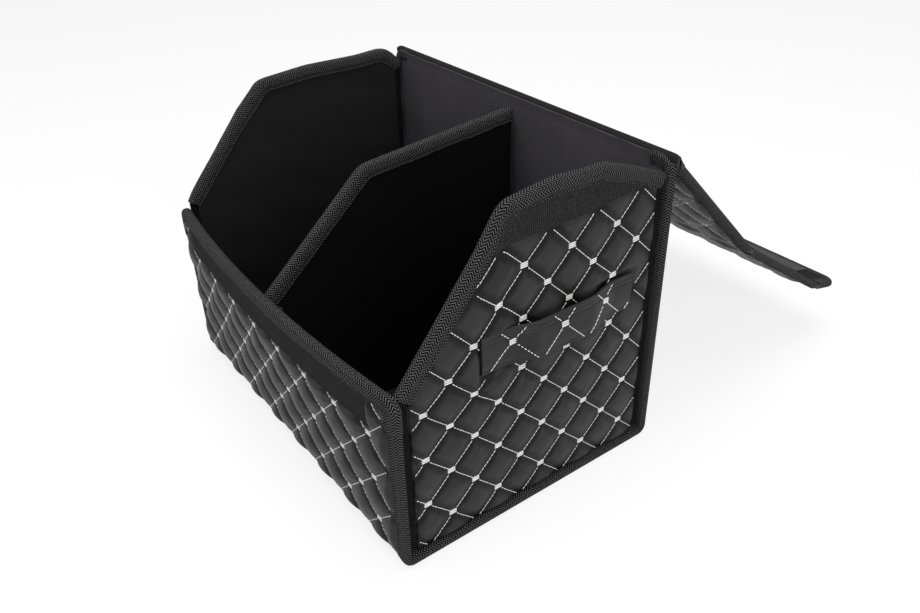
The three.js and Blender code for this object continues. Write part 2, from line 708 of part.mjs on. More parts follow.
// The front flap has round lower corners, one binding round its three free
// edges and a hook strip on its lining
function makeFlap(group, leaf) {
  const v0 = leaf.start.edge;
  const inner0 = v0 + cover_thickness + layer_gap;
  const rim = (reach) => {
    const line = [
      [-half_length - reach, inner0],
      [-half_length - reach, lid_flap_length + reach],
      [half_length + reach, lid_flap_length + reach],
      [half_length + reach, inner0],
    ];
    return rounded(line, [flap_corner_radius + reach, flap_corner_radius + reach]);
  };
  const from_fold = (line, v) => [[-half_length, v], ...line.slice(1, -1), [half_length, v]];
  const quilt_half = half_length - quilt_from_edge;
  const quilted_area = rectangle(-quilt_half, quilt_half, leaf.quilt_start, lid_flap_length - quilt_from_edge);
  const clothed = joined(slab(from_fold(rim(0), v0), -cover_thickness, 0), ...foldCloth(v0, leaf.start.fold, leaf.start.depth));
  addPiece(group, 'lid_flap_cover', quiltedCover(clothed, quilted_area, 0, leaf.quilt_start), leatherette);
  const board = rim(-board_edge_margin);
  addPiece(group, 'lid_flap_board', slab(board, -board_inside, -board_outside), grey_board);
  addPiece(group, 'lid_flap_lining', slab(rim(0), -wall_thickness, -lining_outside), felt);

  const room = [[-half_length - layer_gap, -tape_width], ...rim(layer_gap).slice(1, -1), [half_length + layer_gap, -tape_width]];
  const hollow = rectangle(-half_length + tape_width, half_length - tape_width, -tape_width, lid_flap_length - tape_width);
  const binding = cutAway(
    slab(rim(edge_growth), -bound_depth, edge_growth, tape_bevel),
    slab(room, -wall_thickness - layer_gap, layer_gap),
    slab(hollow, -2 * bound_depth, 2 * bound_depth),
  );
  addPiece(group, 'lid_flap_binding', binding, knit_tape);

  const hook_half = half_length - front_band_end_margin;
  const hook_bottom = lid_flap_length - tape_width - layer_gap;
  const hook = rectangle(-hook_half, hook_half, hook_bottom - flap_hook_height, hook_bottom);
  const depth0 = -wall_thickness - layer_gap - band_thickness;
  addPiece(group, 'lid_flap_hook_strip', slab(hook, depth0, -wall_thickness - layer_gap), hook_tape);
}

makeBase();
makeFront();
makeBack();
makeSideBindings();
makeEnds();
makeDivider();
makeLid();

export default organizer;
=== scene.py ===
import math

import bpy
import numpy as np
from mathutils import Matrix, Vector
from mathutils.bvhtree import BVHTree


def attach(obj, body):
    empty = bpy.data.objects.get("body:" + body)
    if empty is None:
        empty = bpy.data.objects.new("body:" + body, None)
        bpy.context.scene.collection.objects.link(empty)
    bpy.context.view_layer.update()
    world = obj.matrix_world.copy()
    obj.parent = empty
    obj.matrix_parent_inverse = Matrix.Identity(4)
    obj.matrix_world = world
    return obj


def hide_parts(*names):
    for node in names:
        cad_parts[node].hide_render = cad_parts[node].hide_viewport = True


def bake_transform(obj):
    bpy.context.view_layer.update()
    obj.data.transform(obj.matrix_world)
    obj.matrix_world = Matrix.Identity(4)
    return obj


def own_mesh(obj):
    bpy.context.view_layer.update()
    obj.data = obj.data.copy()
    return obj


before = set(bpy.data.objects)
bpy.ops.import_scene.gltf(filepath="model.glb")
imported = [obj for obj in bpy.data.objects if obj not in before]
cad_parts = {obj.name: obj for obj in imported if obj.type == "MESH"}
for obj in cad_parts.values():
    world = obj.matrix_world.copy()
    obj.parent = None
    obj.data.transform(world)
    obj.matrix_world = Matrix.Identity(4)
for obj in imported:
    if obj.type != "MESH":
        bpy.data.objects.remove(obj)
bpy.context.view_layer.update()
bpy.context.scene.view_settings.view_transform = "Standard"


# The camera stands off the bag's front right corner, above it, and looks down
# into the two compartments. It is turned a little about its own line of sight.
look_azimuth, look_elevation, look_roll = (math.radians(a) for a in (54.44, 32.852, -1.496))
camera_place = (0.637607, -0.385699, 0.58072)
picture_width, focal_length_in_pixels, film_width = 920, 846.28, 36

backward = Vector((
    math.sin(look_azimuth) * math.cos(look_elevation),
    -math.cos(look_azimuth) * math.cos(look_elevation),
    math.sin(look_elevation),
))
level = Vector((math.cos(look_azimuth), math.sin(look_azimuth), 0))
plumb = backward.cross(level)
picture_right = level * math.cos(look_roll) + plumb * math.sin(look_roll)
picture_up = plumb * math.cos(look_roll) - level * math.sin(look_roll)
camera_data = bpy.data.cameras.new("camera")
camera_data.sensor_width = film_width
camera_data.lens = film_width * focal_length_in_pixels / picture_width
camera = bpy.data.objects.new("camera", camera_data)
bpy.context.scene.collection.objects.link(camera)
turned = Matrix((picture_right, picture_up, backward)).transposed().to_4x4()
camera.matrix_world = Matrix.Translation(camera_place) @ turned
bpy.context.scene.camera = camera


# The materials' trees of nodes are written as sums of values.
class Shade:
    """A value in a material's tree; sums on it add the nodes that work it out."""

    def __init__(self, finish, socket):
        self.finish, self.socket = finish, socket

    def maths(self, operation, *others, **settings):
        return self.finish.add("ShaderNodeMath", {"operation": operation, **settings}, [self, *others])

    def __add__(self, other):
        return self.maths("ADD", other)

    def __sub__(self, other):
        return self.maths("SUBTRACT", other)

    def __rsub__(self, other):
        return self.finish.add("ShaderNodeMath", {"operation": "SUBTRACT"}, [other, self])

    def __mul__(self, other):
        return self.maths("MULTIPLY", other)

    __radd__ = __add__
    __rmul__ = __mul__


class Finish:
    """A material, with one method that adds any node to it."""

    def __init__(self, name, **shader):
        self.material = bpy.data.materials.new(name)
        self.material.use_nodes = True
        self.tree = self.material.node_tree
        self.shader = self.tree.nodes["Principled BSDF"]
        for socket, value in shader.items():
            self.wear(socket.replace("_", " "), value)

    def join(self, socket, value):
        if isinstance(value, Shade):
            self.tree.links.new(value.socket, socket)
        else:
            socket.default_value = value

    def wear(self, socket, value):
        self.join(self.shader.inputs[socket], value)

    def add(self, kind, settings=(), inputs=(), output=0):
        node = self.tree.nodes.new(kind)
        for key, value in dict(settings).items():
            setattr(node, key, value)
        for key, value in inputs.items() if isinstance(inputs, dict) else enumerate(inputs):
            self.join(node.inputs[key], value)
        return Shade(self, node.outputs[output])

    def place(self):
        return self.add("ShaderNodeTexCoord", output="Object")

    def own_uv(self):
        split = self.add("ShaderNodeSeparateXYZ", {}, [self.add("ShaderNodeTexCoord", output="UV")])
        return split, Shade(self, split.socket.node.outputs[1])

    def noise(self, size, detail=2.0, stretch=(1, 1, 1), where=None):
        spread = self.add("ShaderNodeMapping", {}, {0: where or self.place(), 3: stretch})
        return self.add("ShaderNodeTexNoise", {}, {"Vector": spread, "Scale": 1 / size, "Detail": detail})

    def between(self, share, first, second):
        return self.add("ShaderNodeMix", {"data_type": "RGBA"}, {0: share, 6: first, 7: second}, 2)

    def raise_by(self, height, distance, strength=1.0):
        bump = self.add("ShaderNodeBump", {}, {"Strength": strength, "Distance": distance, "Height": height})
        self.wear("Normal", bump)


def grey(shade, warmth=0.0):
    return (shade * (1 + warmth), shade, shade * (1 - warmth), 1)


def dress(piece, finish):
    piece.data.materials.clear()
    piece.data.materials.append(finish.material)


# The stiffening boards are grey fibre board, cut a little smaller than each
# wall and slid between its cover and its lining, which hide them.
fibre_board = Finish("fibre_board", Roughness=0.92)
board_flecks = fibre_board.noise(0.0016, 4)
fibre_board.wear("Base Color", fibre_board.between(board_flecks, grey(0.09, 0.03), grey(0.2, 0.05)))
fibre_board.raise_by(board_flecks, 0.0003, 0.4)
for name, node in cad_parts.items():
    if name.endswith("_board"):
        dress(node, fibre_board)


# The base is a felt-lined board in a plain leatherette cover, which turns up
# round a soft fold into the front and the back wall.
MM = 0.001
half_length, half_depth = 212, 145
wall_thickness, cover_thickness, lining_thickness = 5.9, 1.3, 1.4
edge_growth, fold_radius = 1.6, 9
base_lining_bottom, base_lining_half = 6.1, 138.8
pores_in_a_metre = 1100


def leather_finish(name, dark, light, seam_pucker_and_shade=None):
    """Black leatherette; a seam mask, 1 on a seam, puckers it and darkens it there as painted shade."""
    finish = Finish(name, Specular_IOR_Level=0.17)
    pores = {"Vector": finish.place(), "Scale": pores_in_a_metre}
    grain = finish.add("ShaderNodeTexVoronoi", {"feature": "SMOOTH_F1"}, pores)
    cloudy = finish.noise(0.03, 3)
    height = grain * 0.5 + finish.noise(0.0035, 3) * 0.6
    if seam_pucker_and_shade:
        pucker_and_painted_shade = seam_pucker_and_shade(finish)
        # Painted shade: the colour darkens along the seams, in the valleys between the puffs.
        cloudy = cloudy.maths("SUBTRACT", pucker_and_painted_shade * 0.9, use_clamp=True)
        height = height + pucker_and_painted_shade * finish.noise(0.0045, 2) * 4.0
    finish.wear("Base Color", finish.between(cloudy, grey(dark), grey(light)))
    finish.wear("Roughness", finish.noise(0.012, 2) * 0.14 + 0.36)
    finish.raise_by(height, 0.0003, 0.4)
    return finish


def felt_finish(name, dark, light, roughness, sheen):
    """Matted black fibres, some lighter, that stand up a little."""
    finish = Finish(name, Roughness=roughness, Specular_IOR_Level=sheen)
    fibres = finish.noise(0.0011, 4)
    finish.wear("Base Color", finish.between(fibres, grey(dark), grey(light)))
    finish.raise_by(fibres, 0.0004, 0.5)
    return finish


leatherette = leather_finish("leatherette", 0.01, 0.027)
black_felt = felt_finish("black_felt", 0.0045, 0.015, 0.97, 0.15)


def coordinates(piece):
    points = np.empty(len(piece.data.vertices) * 3)
    piece.data.vertices.foreach_get("co", points)
    return points.reshape(-1, 3)


def set_coordinates(piece, points):
    piece.data.vertices.foreach_set("co", np.asarray(points, float).ravel())
    piece.data.update()


def named(piece, name, finish):
    piece.name = piece.data.name = name
    dress(piece, finish)
    return piece


def at_each(profile, stations):
    """The profile once for each station of a band."""
    return np.repeat(np.asarray(profile, float)[None], stations, axis=0)


def swept(name, finish, points, outward, facing, profile, smooth_angle=50):
    """A closed band that runs along the points, in millimetres: at each one the
    profile's first number goes along outward and its second along facing."""
    points = np.asarray(points, float)
    outward, facing = (np.broadcast_to(np.asarray(way, float), points.shape) for way in (outward, facing))
    if np.ndim(profile) == 2:
        profile = at_each(profile, len(points))
    profile = np.concatenate([profile, profile[:, :1]], axis=1)
    stations, corners = len(points), profile.shape[1]
    bpy.ops.object.select_all(action="DESELECT")
    bpy.ops.mesh.primitive_grid_add(x_subdivisions=stations - 1, y_subdivisions=corners - 1, size=1)
    band = bpy.context.object
    spread = coordinates(band)
    i = np.rint((spread[:, 0] + 0.5) * (stations - 1)).astype(int)
    j = np.rint((spread[:, 1] + 0.5) * (corners - 1)).astype(int)
    shape = profile[i, j]
    set_coordinates(band, (points[i] + shape[:, :1] * outward[i] + shape[:, 1:] * facing[i]) * MM)
    along = np.concatenate([[0], np.cumsum(np.linalg.norm(np.diff(points, axis=0), axis=1))])
    middle = profile[stations // 2]
    around = np.concatenate([[0], np.cumsum(np.linalg.norm(np.diff(middle, axis=0), axis=1))])
    loop_vertex = np.empty(len(band.data.loops), int)
    band.data.loops.foreach_get("vertex_index", loop_vertex)
    cloth_uv = np.stack([along[i], around[j]], axis=1)[loop_vertex] * MM
    band.data.uv_layers.active.data.foreach_set("uv", cloth_uv.ravel())
    bpy.ops.object.mode_set(mode="EDIT")
    bpy.ops.mesh.select_all(action="SELECT")
    bpy.ops.mesh.remove_doubles(threshold=1e-6)
    bpy.ops.mesh.select_mode(type="EDGE")
    bpy.ops.mesh.select_all(action="DESELECT")
    bpy.ops.mesh.select_non_manifold(extend=False)
    bpy.ops.mesh.edge_face_add()
    bpy.ops.mesh.select_all(action="SELECT")
    bpy.ops.mesh.normals_make_consistent(inside=False)
    bpy.ops.object.mode_set(mode="OBJECT")
    bpy.ops.object.shade_smooth_by_angle(angle=math.radians(smooth_angle))
    return named(band, name, finish)


def ribbon(line, inner, outer):
    """The closed strip between two offsets of an open line; plus is to its left."""
    line = np.asarray(line, float)
    run = np.diff(line, axis=0)
    run /= np.linalg.norm(run, axis=1)[:, None]
    left = np.stack([-run[:, 1], run[:, 0]], axis=1)
    first, second = np.vstack([left[:1], left]), np.vstack([left, left[-1:]])
    miter = first + second
    miter /= (miter * first).sum(1)[:, None]
    return [*(line + miter * inner), *(line + miter * outer)[::-1]]


def arc(centre, radius, start, end, steps=8):
    angles = np.radians(np.linspace(start, end, steps + 1))
    return [(centre[0] + radius * math.cos(a), centre[1] + radius * math.sin(a)) for a in angles]


def stand_in(piece, node, body="bag"):
    """The piece moves with its body, and shows in the place of a CAD node."""
    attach(piece, body)
    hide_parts(node)


fold_height, fold_lap, sag = edge_growth + fold_radius, 0.3, 0.12
base_fold_line = [
    (-half_depth, fold_height + fold_lap),
    *arc((fold_radius - half_depth, fold_height), fold_radius, 180, 270),
    *((y, edge_growth + sag * math.sin(y * 0.9)) for y in range(-120, 121, 20)),
    *arc((half_depth - fold_radius, fold_height), fold_radius, -90, 0),
    (half_depth, fold_height + fold_lap),
]
lengthwise = [(x, 0, 0) for x in np.linspace(-half_length, half_length, 60)]
base_profile = ribbon(base_fold_line, 0, cover_thickness)
base_cover = swept("base_cover_folded", leatherette, lengthwise, (0, 1, 0), (0, 0, 1), base_profile)
stand_in(base_cover, "base_cover")


def trimmed_sheet(outline, step, through=(0, 0)):
    """A flat cloth, ruled in squares of the step through one point and cut to a
    convex outline that runs anticlockwise, in millimetres of its own plane."""
    (step_u, step_v), (u, v) = step, through
    low, high = np.min(outline, axis=0), np.max(outline, axis=0)
    i0, j0 = math.floor((low[0] - u) / step_u), math.floor((low[1] - v) / step_v)
    i1, j1 = math.ceil((high[0] - u) / step_u), math.ceil((high[1] - v) / step_v)
    bpy.ops.object.select_all(action="DESELECT")
    middle = ((u + (i0 + i1) / 2 * step_u) * MM, (v + (j0 + j1) / 2 * step_v) * MM, 0)
    bpy.ops.mesh.primitive_grid_add(x_subdivisions=i1 - i0, y_subdivisions=j1 - j0, size=1, location=middle)
    cloth = bpy.context.object
    cloth.scale = ((i1 - i0) * step_u * MM, (j1 - j0) * step_v * MM, 1)
    bpy.ops.object.transform_apply(location=True, rotation=False, scale=True)
    bpy.ops.object.mode_set(mode="EDIT")
    for (ua, va), (ub, vb) in zip(outline, [*outline[1:], outline[0]]):
        outward = Vector((vb - va, ua - ub, 0)).normalized()
        if outward.length > 0.5:
            bpy.ops.mesh.select_all(action="SELECT")
            bpy.ops.mesh.bisect(
                plane_co=(ua * MM, va * MM, 0), plane_no=outward, clear_outer=True, threshold=1e-6)
    bpy.ops.mesh.select_all(action="SELECT")
    bpy.ops.mesh.remove_doubles(threshold=2e-4)
    bpy.ops.object.mode_set(mode="OBJECT")
    corner = np.empty(len(cloth.data.loops), int)
    cloth.data.loops.foreach_get("vertex_index", corner)
    ruled = coordinates(cloth)[:, :2] - np.array(through) * MM
    cloth.data.uv_layers.active.data.foreach_set("uv", ruled[corner].ravel())
    return cloth


def pick(piece):
    """Selects one piece alone, for the operators that follow."""
    bpy.ops.object.select_all(action="DESELECT")
    piece.select_set(True)
    bpy.context.view_layer.objects.active = piece


def give_thickness(cloth, thickness):
    """Turns the cloth's rim down by its thickness and closes its back."""
    pick(cloth)
    bpy.ops.object.mode_set(mode="EDIT")
    bpy.ops.mesh.select_mode(type="EDGE")
    bpy.ops.mesh.select_all(action="DESELECT")
    bpy.ops.mesh.select_non_manifold(extend=False)
    bpy.ops.mesh.extrude_region_move(TRANSFORM_OT_translate={"value": (0, 0, -thickness * MM)})
    bpy.ops.mesh.edge_face_add()
    bpy.ops.mesh.select_all(action="SELECT")
    bpy.ops.mesh.normals_make_consistent(inside=False)
    bpy.ops.object.mode_set(mode="OBJECT")
    bpy.ops.object.shade_smooth_by_angle(angle=math.radians(55))


def solidify(cloth, thickness, into=-1, smooth_angle=55):
    pick(cloth)
    wall = cloth.modifiers.new("thickness", "SOLIDIFY")
    wall.thickness, wall.offset = thickness * MM, into
    bpy.ops.object.modifier_apply(modifier=wall.name)
    bpy.ops.object.shade_smooth_by_angle(angle=math.radians(smooth_angle))


def rectangle(u0, u1, v0, v1):
    return [(u0, v0), (u1, v0), (u1, v1), (u0, v1)]


def waves(points, seed, size, count=9):
    """Soft unevenness over the points, in millimetres, from a few slow waves."""
    draw = np.random.default_rng(seed)
    total = np.zeros(len(points))
    for _ in range(count):
        way, length = draw.uniform(0, math.pi), size * draw.uniform(0.6, 1.8)
        run = points[:, 0] * math.cos(way) + points[:, 1] * math.sin(way)
        total += np.sin(run / (length * MM) * 2 * math.pi + draw.uniform(0, 6.3)) * draw.uniform(0.4, 1)
    return total / count


def felt_sheet(name, finish, outline, face, thickness, place, unevenness, seed, into=-1):
    """A flat lining: its face level, in millimetres, and the way that it thickens."""
    cloth = trimmed_sheet(outline, (8, 8))
    points = coordinates(cloth)
    points[:, 2] = face * MM + into * unevenness * MM * waves(points, seed, 70)
    set_coordinates(cloth, points)
    solidify(cloth, thickness, into, 50)
    cloth.data.transform(place)
    return named(cloth, name, finish)


base_felt = felt_sheet(
    "base_felt", black_felt, rectangle(-half_length, half_length, -base_lining_half, base_lining_half),
    base_lining_bottom + lining_thickness, lining_thickness, Matrix(), 0.12, 3)
stand_in(base_felt, "base_lining")


# The front wall is low, and its quilted leatherette cover is padded. White
# thread sews the padding down in diamonds, with a satin bar where lines cross.
quilt_pitch_along, quilt_pitch_up, first_stitch_height = 50, 49.2, 8
half_along, half_up = quilt_pitch_along / 2, quilt_pitch_up / 2
rows_per_half_pitch = 8
quilt_step = (half_along / rows_per_half_pitch, half_up / rows_per_half_pitch)
seam_clear, node_clear = 0.01, 0.135
puff_height, front_puff_height = 3.9, 5.6
front_height, front_bottom = 181, 10.9
front_bow, front_bow_growth = 14.5, 1.35
corner_radius = 12


def beside_the_seams(finish):
    """1 on a line of stitches and 0 from a quarter of a diamond away from it."""
    u, v = finish.own_uv()
    along, up = u * (0.5 / (half_along * MM)), v * (0.5 / (half_up * MM))
    nearest = (along + up).maths("PINGPONG", 0.5).maths("MINIMUM", (along - up).maths("PINGPONG", 0.5))
    return (1 - nearest * 4.2).maths("MAXIMUM", 0.0)


# The quilted covers' colour is darkened beside the seams: painted shade in the stitched valleys.
quilted_leatherette = leather_finish("quilted_leatherette", 0.002, 0.037, beside_the_seams)


def standing(facing, x=0.0, y=0.0):
    """Places a wall that was drawn flat: 0 faces the front, 90 the right end."""
    turn = Matrix.Rotation(math.radians(facing), 4, "Z") @ Matrix.Rotation(math.pi / 2, 4, "X")
    return Matrix.Translation((x * MM, y * MM, 0)) @ turn


def inside(points, outline):
    """Which points, in millimetres, lie in a convex anticlockwise outline."""
    within = np.ones(len(points), bool)
    for (ua, va), (ub, vb) in zip(outline, [*outline[1:], outline[0]]):
        within &= (ub - ua) * (points[:, 1] - va) - (vb - va) * (points[:, 0] - ua) > 0
    return within


def quilt_runs(points, first_node):
    """How far each point is along the two families of stitch lines, in pitches."""
    s = (points[:, 0] - first_node[0]) / half_along
    t = (points[:, 1] - first_node[1]) / half_up
    return (s + t) / 2, (s - t) / 2


def filled(cloth, held, puff, pressure):
    """Blows the domed cloth up between the points where it is sewn down."""
    sewn_down = coordinates(cloth)[held]
    group = cloth.vertex_groups.new(name="sewn")
    group.add([int(k) for k in np.flatnonzero(held)], 1.0, "REPLACE")
    padding = cloth.modifiers.new("padding", "CLOTH")
    stuff = padding.settings
    stuff.vertex_group_mass = "sewn"
    stuff.quality, stuff.mass = 4, 0.01
    stuff.tension_stiffness = stuff.compression_stiffness = 15
    stuff.shear_stiffness, stuff.bending_stiffness = 7.5, 1.5
    stuff.use_pressure, stuff.uniform_pressure_force = True, pressure
    stuff.shrink_min = -0.008
    stuff.effector_weights.gravity = 0
    padding.collision_settings.use_collision = False
    padding.point_cache.frame_end = 21
    for moment in range(1, 21):
        bpy.context.scene.frame_set(moment)
    bpy.context.view_layer.objects.active = cloth
    bpy.ops.object.modifier_apply(modifier=padding.name)
    bpy.context.scene.frame_set(1)
    swollen = coordinates(cloth)
    fullest = np.percentile(swollen[~held, 2], 97)
    swollen[:, 2] = np.clip(swollen[:, 2] * (puff * MM / fullest), -0.2 * MM, puff * 1.08 * MM)
    swollen[held] = sewn_down
    set_coordinates(cloth, swollen)
    cloth.vertex_groups.clear()


def quilted_cover(name, outline, area, flat_patches, first_node, place, puff, pressure, seed, open_rim=False):
    """A padded cover: the cloth is sewn down along the stitch lines and under its
    tapes, and a cloth simulation fills what is free between them."""
    cloth = trimmed_sheet(outline, quilt_step, first_node)
    domed = coordinates(cloth)
    points = domed[:, :2] / MM
    a, b = quilt_runs(points, first_node)
    off_a, off_b = np.abs(a - np.rint(a)), np.abs(b - np.rint(b))
    held = (off_a < seam_clear) | (off_b < seam_clear) | (off_a + off_b < node_clear) | ~inside(points, area)
    for patch in flat_patches:
        held |= inside(points, patch)
    free = ~held
    dome = (np.sin(np.pi * off_a[free]) * np.sin(np.pi * off_b[free])) ** 0.45
    draw = np.random.default_rng(seed)
    domed[free, 2] = (puff * dome + draw.uniform(0, 0.15, free.sum())) * MM
    set_coordinates(cloth, domed)
    filled(cloth, held, puff, pressure)
    rounder = cloth.modifiers.new("rounder", "SUBSURF")
    rounder.levels = rounder.render_levels = 1
    rounder.boundary_smooth = "PRESERVE_CORNERS"
    bpy.context.view_layer.objects.active = cloth
    bpy.ops.object.modifier_apply(modifier=rounder.name)
    surface = BVHTree.FromObject(cloth, bpy.context.evaluated_depsgraph_get())
    if open_rim:
        solidify(cloth, cover_thickness)
    else:
        give_thickness(cloth, cover_thickness)
    cloth.data.transform(place)
    return named(cloth, name, quilted_leatherette), surface


# White thread closes the quilting. One stitch and one satin bar are modelled
# here, and copied along the lines and onto the places where lines cross.
stitch_length, stitch_pitch, thread_width, stitch_lift = 3.75, 3.75, 0.85, 0.3
bar_length, bar_width, bar_height, bar_pitch, bars_in_a_node, bar_lift = 7.8, 1.35, 1.1, 1.75, 3, 0.35
node_half_width, node_half_height = 4.2, 2.8
white_thread = Finish("white_thread", Roughness=0.55, Specular_IOR_Level=0.4)
strands = white_thread.noise(0.0012, 3)
white_thread.wear("Base Color", white_thread.between(strands, grey(0.6), grey(0.88, 0.01)))


def taken_up(model):
    """A model's points and faces, to be copied; the model itself goes."""
    shape = coordinates(model), [tuple(face.vertices) for face in model.data.polygons]
    bpy.ops.object.delete()
    return shape


bpy.ops.object.select_all(action="DESELECT")
bpy.ops.mesh.primitive_uv_sphere_add(segments=6, ring_count=4, radius=0.5 * MM, rotation=(0, math.pi / 2, 0))
one_stitch = bpy.context.object
one_stitch.scale = (thread_width * 0.8, thread_width, stitch_length)
bpy.ops.object.transform_apply(location=False, rotation=True, scale=True)
stitch = taken_up(one_stitch)
bpy.ops.mesh.primitive_cube_add(size=1 * MM)
one_bar = bpy.context.object
one_bar.scale = (bar_length, bar_width, bar_height)
bpy.ops.object.transform_apply(location=False, rotation=False, scale=True)
bpy.ops.object.mode_set(mode="EDIT")
bpy.ops.mesh.bevel(offset=0.42 * MM, segments=1)
bpy.ops.object.mode_set(mode="OBJECT")
bar = taken_up(one_bar)


def sewn(name, kinds, place):
    """One mesh of many copies: each kind is a shape and the places it goes to."""
    points, faces, start = [], [], 0
    for (shape, shape_faces), places in kinds:
        for spot in places:
            points.append(shape @ np.array(spot)[:3, :3].T + np.array(spot)[:3, 3])
            faces += [tuple(start + k for k in face) for face in shape_faces]
            start += len(shape)
    mesh = bpy.data.meshes.new(name)
    mesh.from_pydata(np.concatenate(points).tolist(), [], faces)
    mesh.polygons.foreach_set("use_smooth", [True] * len(mesh.polygons))
    mesh.transform(place)
    piece = bpy.data.objects.new(name, mesh)
    bpy.context.scene.collection.objects.link(piece)
    return named(piece, name, white_thread)


def thread_places(area, flat_patches, first_node, surface):
    """Where stitches and satin bars lie on a quilted cloth, on its surface."""
    low, high = np.min(area, axis=0), np.max(area, axis=0)
    halves = np.array((half_along, half_up))
    i0, j0 = (int(k) - 1 for k in np.floor((low - first_node) / halves))
    i1, j1 = (int(k) + 1 for k in np.ceil((high - first_node) / halves))
    diagonal = math.hypot(half_along, half_up)
    first, last = node_clear * diagonal, (1 - node_clear) * diagonal
    count = round((last - first) / stitch_pitch)

    def shown(u, v):
        spot = np.array([[u, v]])
        return inside(spot, area)[0] and not any(inside(spot, patch)[0] for patch in flat_patches)

    def lay_down(places, u, v, lift, lean=0.0):
        hit = surface.ray_cast(Vector((u * MM, v * MM, 0.05)), Vector((0, 0, -1)))[0]
        if hit:
            spot = Matrix.Translation((u * MM, v * MM, hit.z + lift * MM))
            places.append(spot @ Matrix.Rotation(lean, 4, "Z"))

    stitches, bars = [], []
    nodes = [(i, j) for i in range(i0, i1 + 1) for j in range(j0, j1 + 1) if (i + j) % 2 == 0]
    for i, j in nodes:
        u, v = first_node[0] + i * half_along, first_node[1] + j * half_up
        if all(shown(u + a * node_half_width, v + b * node_half_height) for a in (-1, 1) for b in (-1, 1)):
            for row in range(bars_in_a_node):
                lay_down(bars, u, v + (row - (bars_in_a_node - 1) / 2) * bar_pitch, bar_lift)
        for lean in (math.atan2(half_up, half_along), math.atan2(-half_up, half_along)):
            for k in range(count):
                far = first + (k + 0.5) * (last - first) / count
                su, sv = u + far * math.cos(lean), v + far * math.sin(lean)
                if shown(su, sv):
                    lay_down(stitches, su, sv, stitch_lift, lean)
    return stitches, bars


def quilted_wall(name, outline, area, first_node, place, puff, pressure, seed, pressed_flat=(), unsewn=(),
                 body="bag", shaped=lambda piece: piece, open_rim=False):
    """A wall's padded cover and its threads, which both take the wall's own shape."""
    cover, surface = quilted_cover(
        f"{name}_quilting", outline, area, pressed_flat, first_node, place, puff, pressure, seed, open_rim)
    stand_in(shaped(cover), f"{name}_cover", body)
    stitches, bars = thread_places(area, unsewn, first_node, surface)
    threads = sewn(f"{name}_threads", [(stitch, stitches), (bar, bars)], place)
    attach(shaped(threads), body)
    return cover, threads


def felt_lining(name, outline, place, unevenness, seed, body="bag", shaped=lambda piece: piece):
    """A wall's black lining, stretched over the inner face of its board."""
    lining = felt_sheet(
        f"{name}_felt", black_felt, outline, -wall_thickness, lining_thickness, place, unevenness, seed, into=1)
    stand_in(shaped(lining), f"{name}_lining", body)
    return lining


def bowed(piece):
    """The loaded front wall bellies out towards the middle of its free top edge."""
    points = coordinates(piece)
    rise = np.clip(points[:, 2] / (front_height * MM), 0, 1.02) ** front_bow_growth
    middle = np.clip(1 - (points[:, 0] / (half_length * MM)) ** 2, 0, 1)
    points[:, 1] -= front_bow * MM * rise * middle * (points[:, 1] < -0.12)
    set_coordinates(piece, points)
    return piece


def round_topped(half, bottom, top, radius=corner_radius):
    return [(-half, bottom), (half, bottom), *arc((half - radius, top - radius), radius, 0, 90),
            *arc((radius - half, top - radius), radius, 90, 180)]


quilt_half, quilt_foot, front_quilt_top = 200.5, 11.9, 169.8
band_half, band_foot, band_top, band_ease = 178, 139.2, 170.4, 1
stiffener_face, stiffener_thickness = -4.2, 2.6
front_place = standing(0, 0, -half_depth)
front_area = rectangle(-quilt_half, quilt_half, quilt_foot, front_quilt_top)
front_band_room = rectangle(
    -band_half - band_ease, band_half + band_ease, band_foot - band_ease, front_height)
front_nodes = (0, first_stitch_height)
front_cover, front_threads = quilted_wall(
    "front", round_topped(half_length, front_bottom, front_height), front_area, front_nodes, front_place,
    front_puff_height, 30, 11, [front_band_room], [front_band_room], shaped=bowed, open_rim=True)
front_felt = felt_lining(
    "front", round_topped(half_length, base_lining_bottom, front_height), front_place, 0.3, 5,
    shaped=bowed)
front_board = felt_sheet(
    "front_stiffener", fibre_board, round_topped(half_length - 1, front_bottom + 0.3, front_height - 1),
    stiffener_face, stiffener_thickness, front_place, 0.0, 5, into=1)
stand_in(bowed(front_board), "front_board")


# A band of loop pile is sewn to the front wall under its top tape; the hooks
# of the lid's flap grip it.
pile_row, pile_foot, pile_thickness = 1.9, 0.3, 1.2
loop_pile = Finish("loop_pile", Roughness=0.95, Specular_IOR_Level=0.03)
across_band = loop_pile.own_uv()[0]
pile_run = across_band * (2 * math.pi / (pile_row * MM)) + loop_pile.noise(0.004, 2) * 5
pile = (pile_run.maths("SINE") * 0.5 + 0.5) * 0.35 + loop_pile.noise(0.0009, 3)
tufts = (pile - 0.42).maths("MULTIPLY", 1.9, use_clamp=True)
loop_pile.wear("Base Color", loop_pile.between(tufts, grey(0.002), grey(0.043)))
loop_pile.raise_by(pile, 0.0008, 0.7)


def pile_band(name, outline, place, seed):
    """A strip of loop pile: a fine ruled cloth with a tufted face and a sewn rim."""
    cloth = trimmed_sheet(outline, (2.5, 2.5))
    points = coordinates(cloth)
    draw = np.random.default_rng(seed)
    tufted = waves(points, seed, 30) * 0.25 + draw.uniform(-0.16, 0.16, len(points))
    points[:, 2] = (pile_foot + pile_thickness + tufted) * MM
    set_coordinates(cloth, points)
    solidify(cloth, pile_thickness)
    cloth.data.transform(place)
    return named(cloth, name, loop_pile)


front_band_outline = rectangle(-band_half, band_half, band_foot, band_top)
front_band = pile_band("front_pile_band", front_band_outline, front_place, 21)
stand_in(bowed(front_band), "front_loop_band")


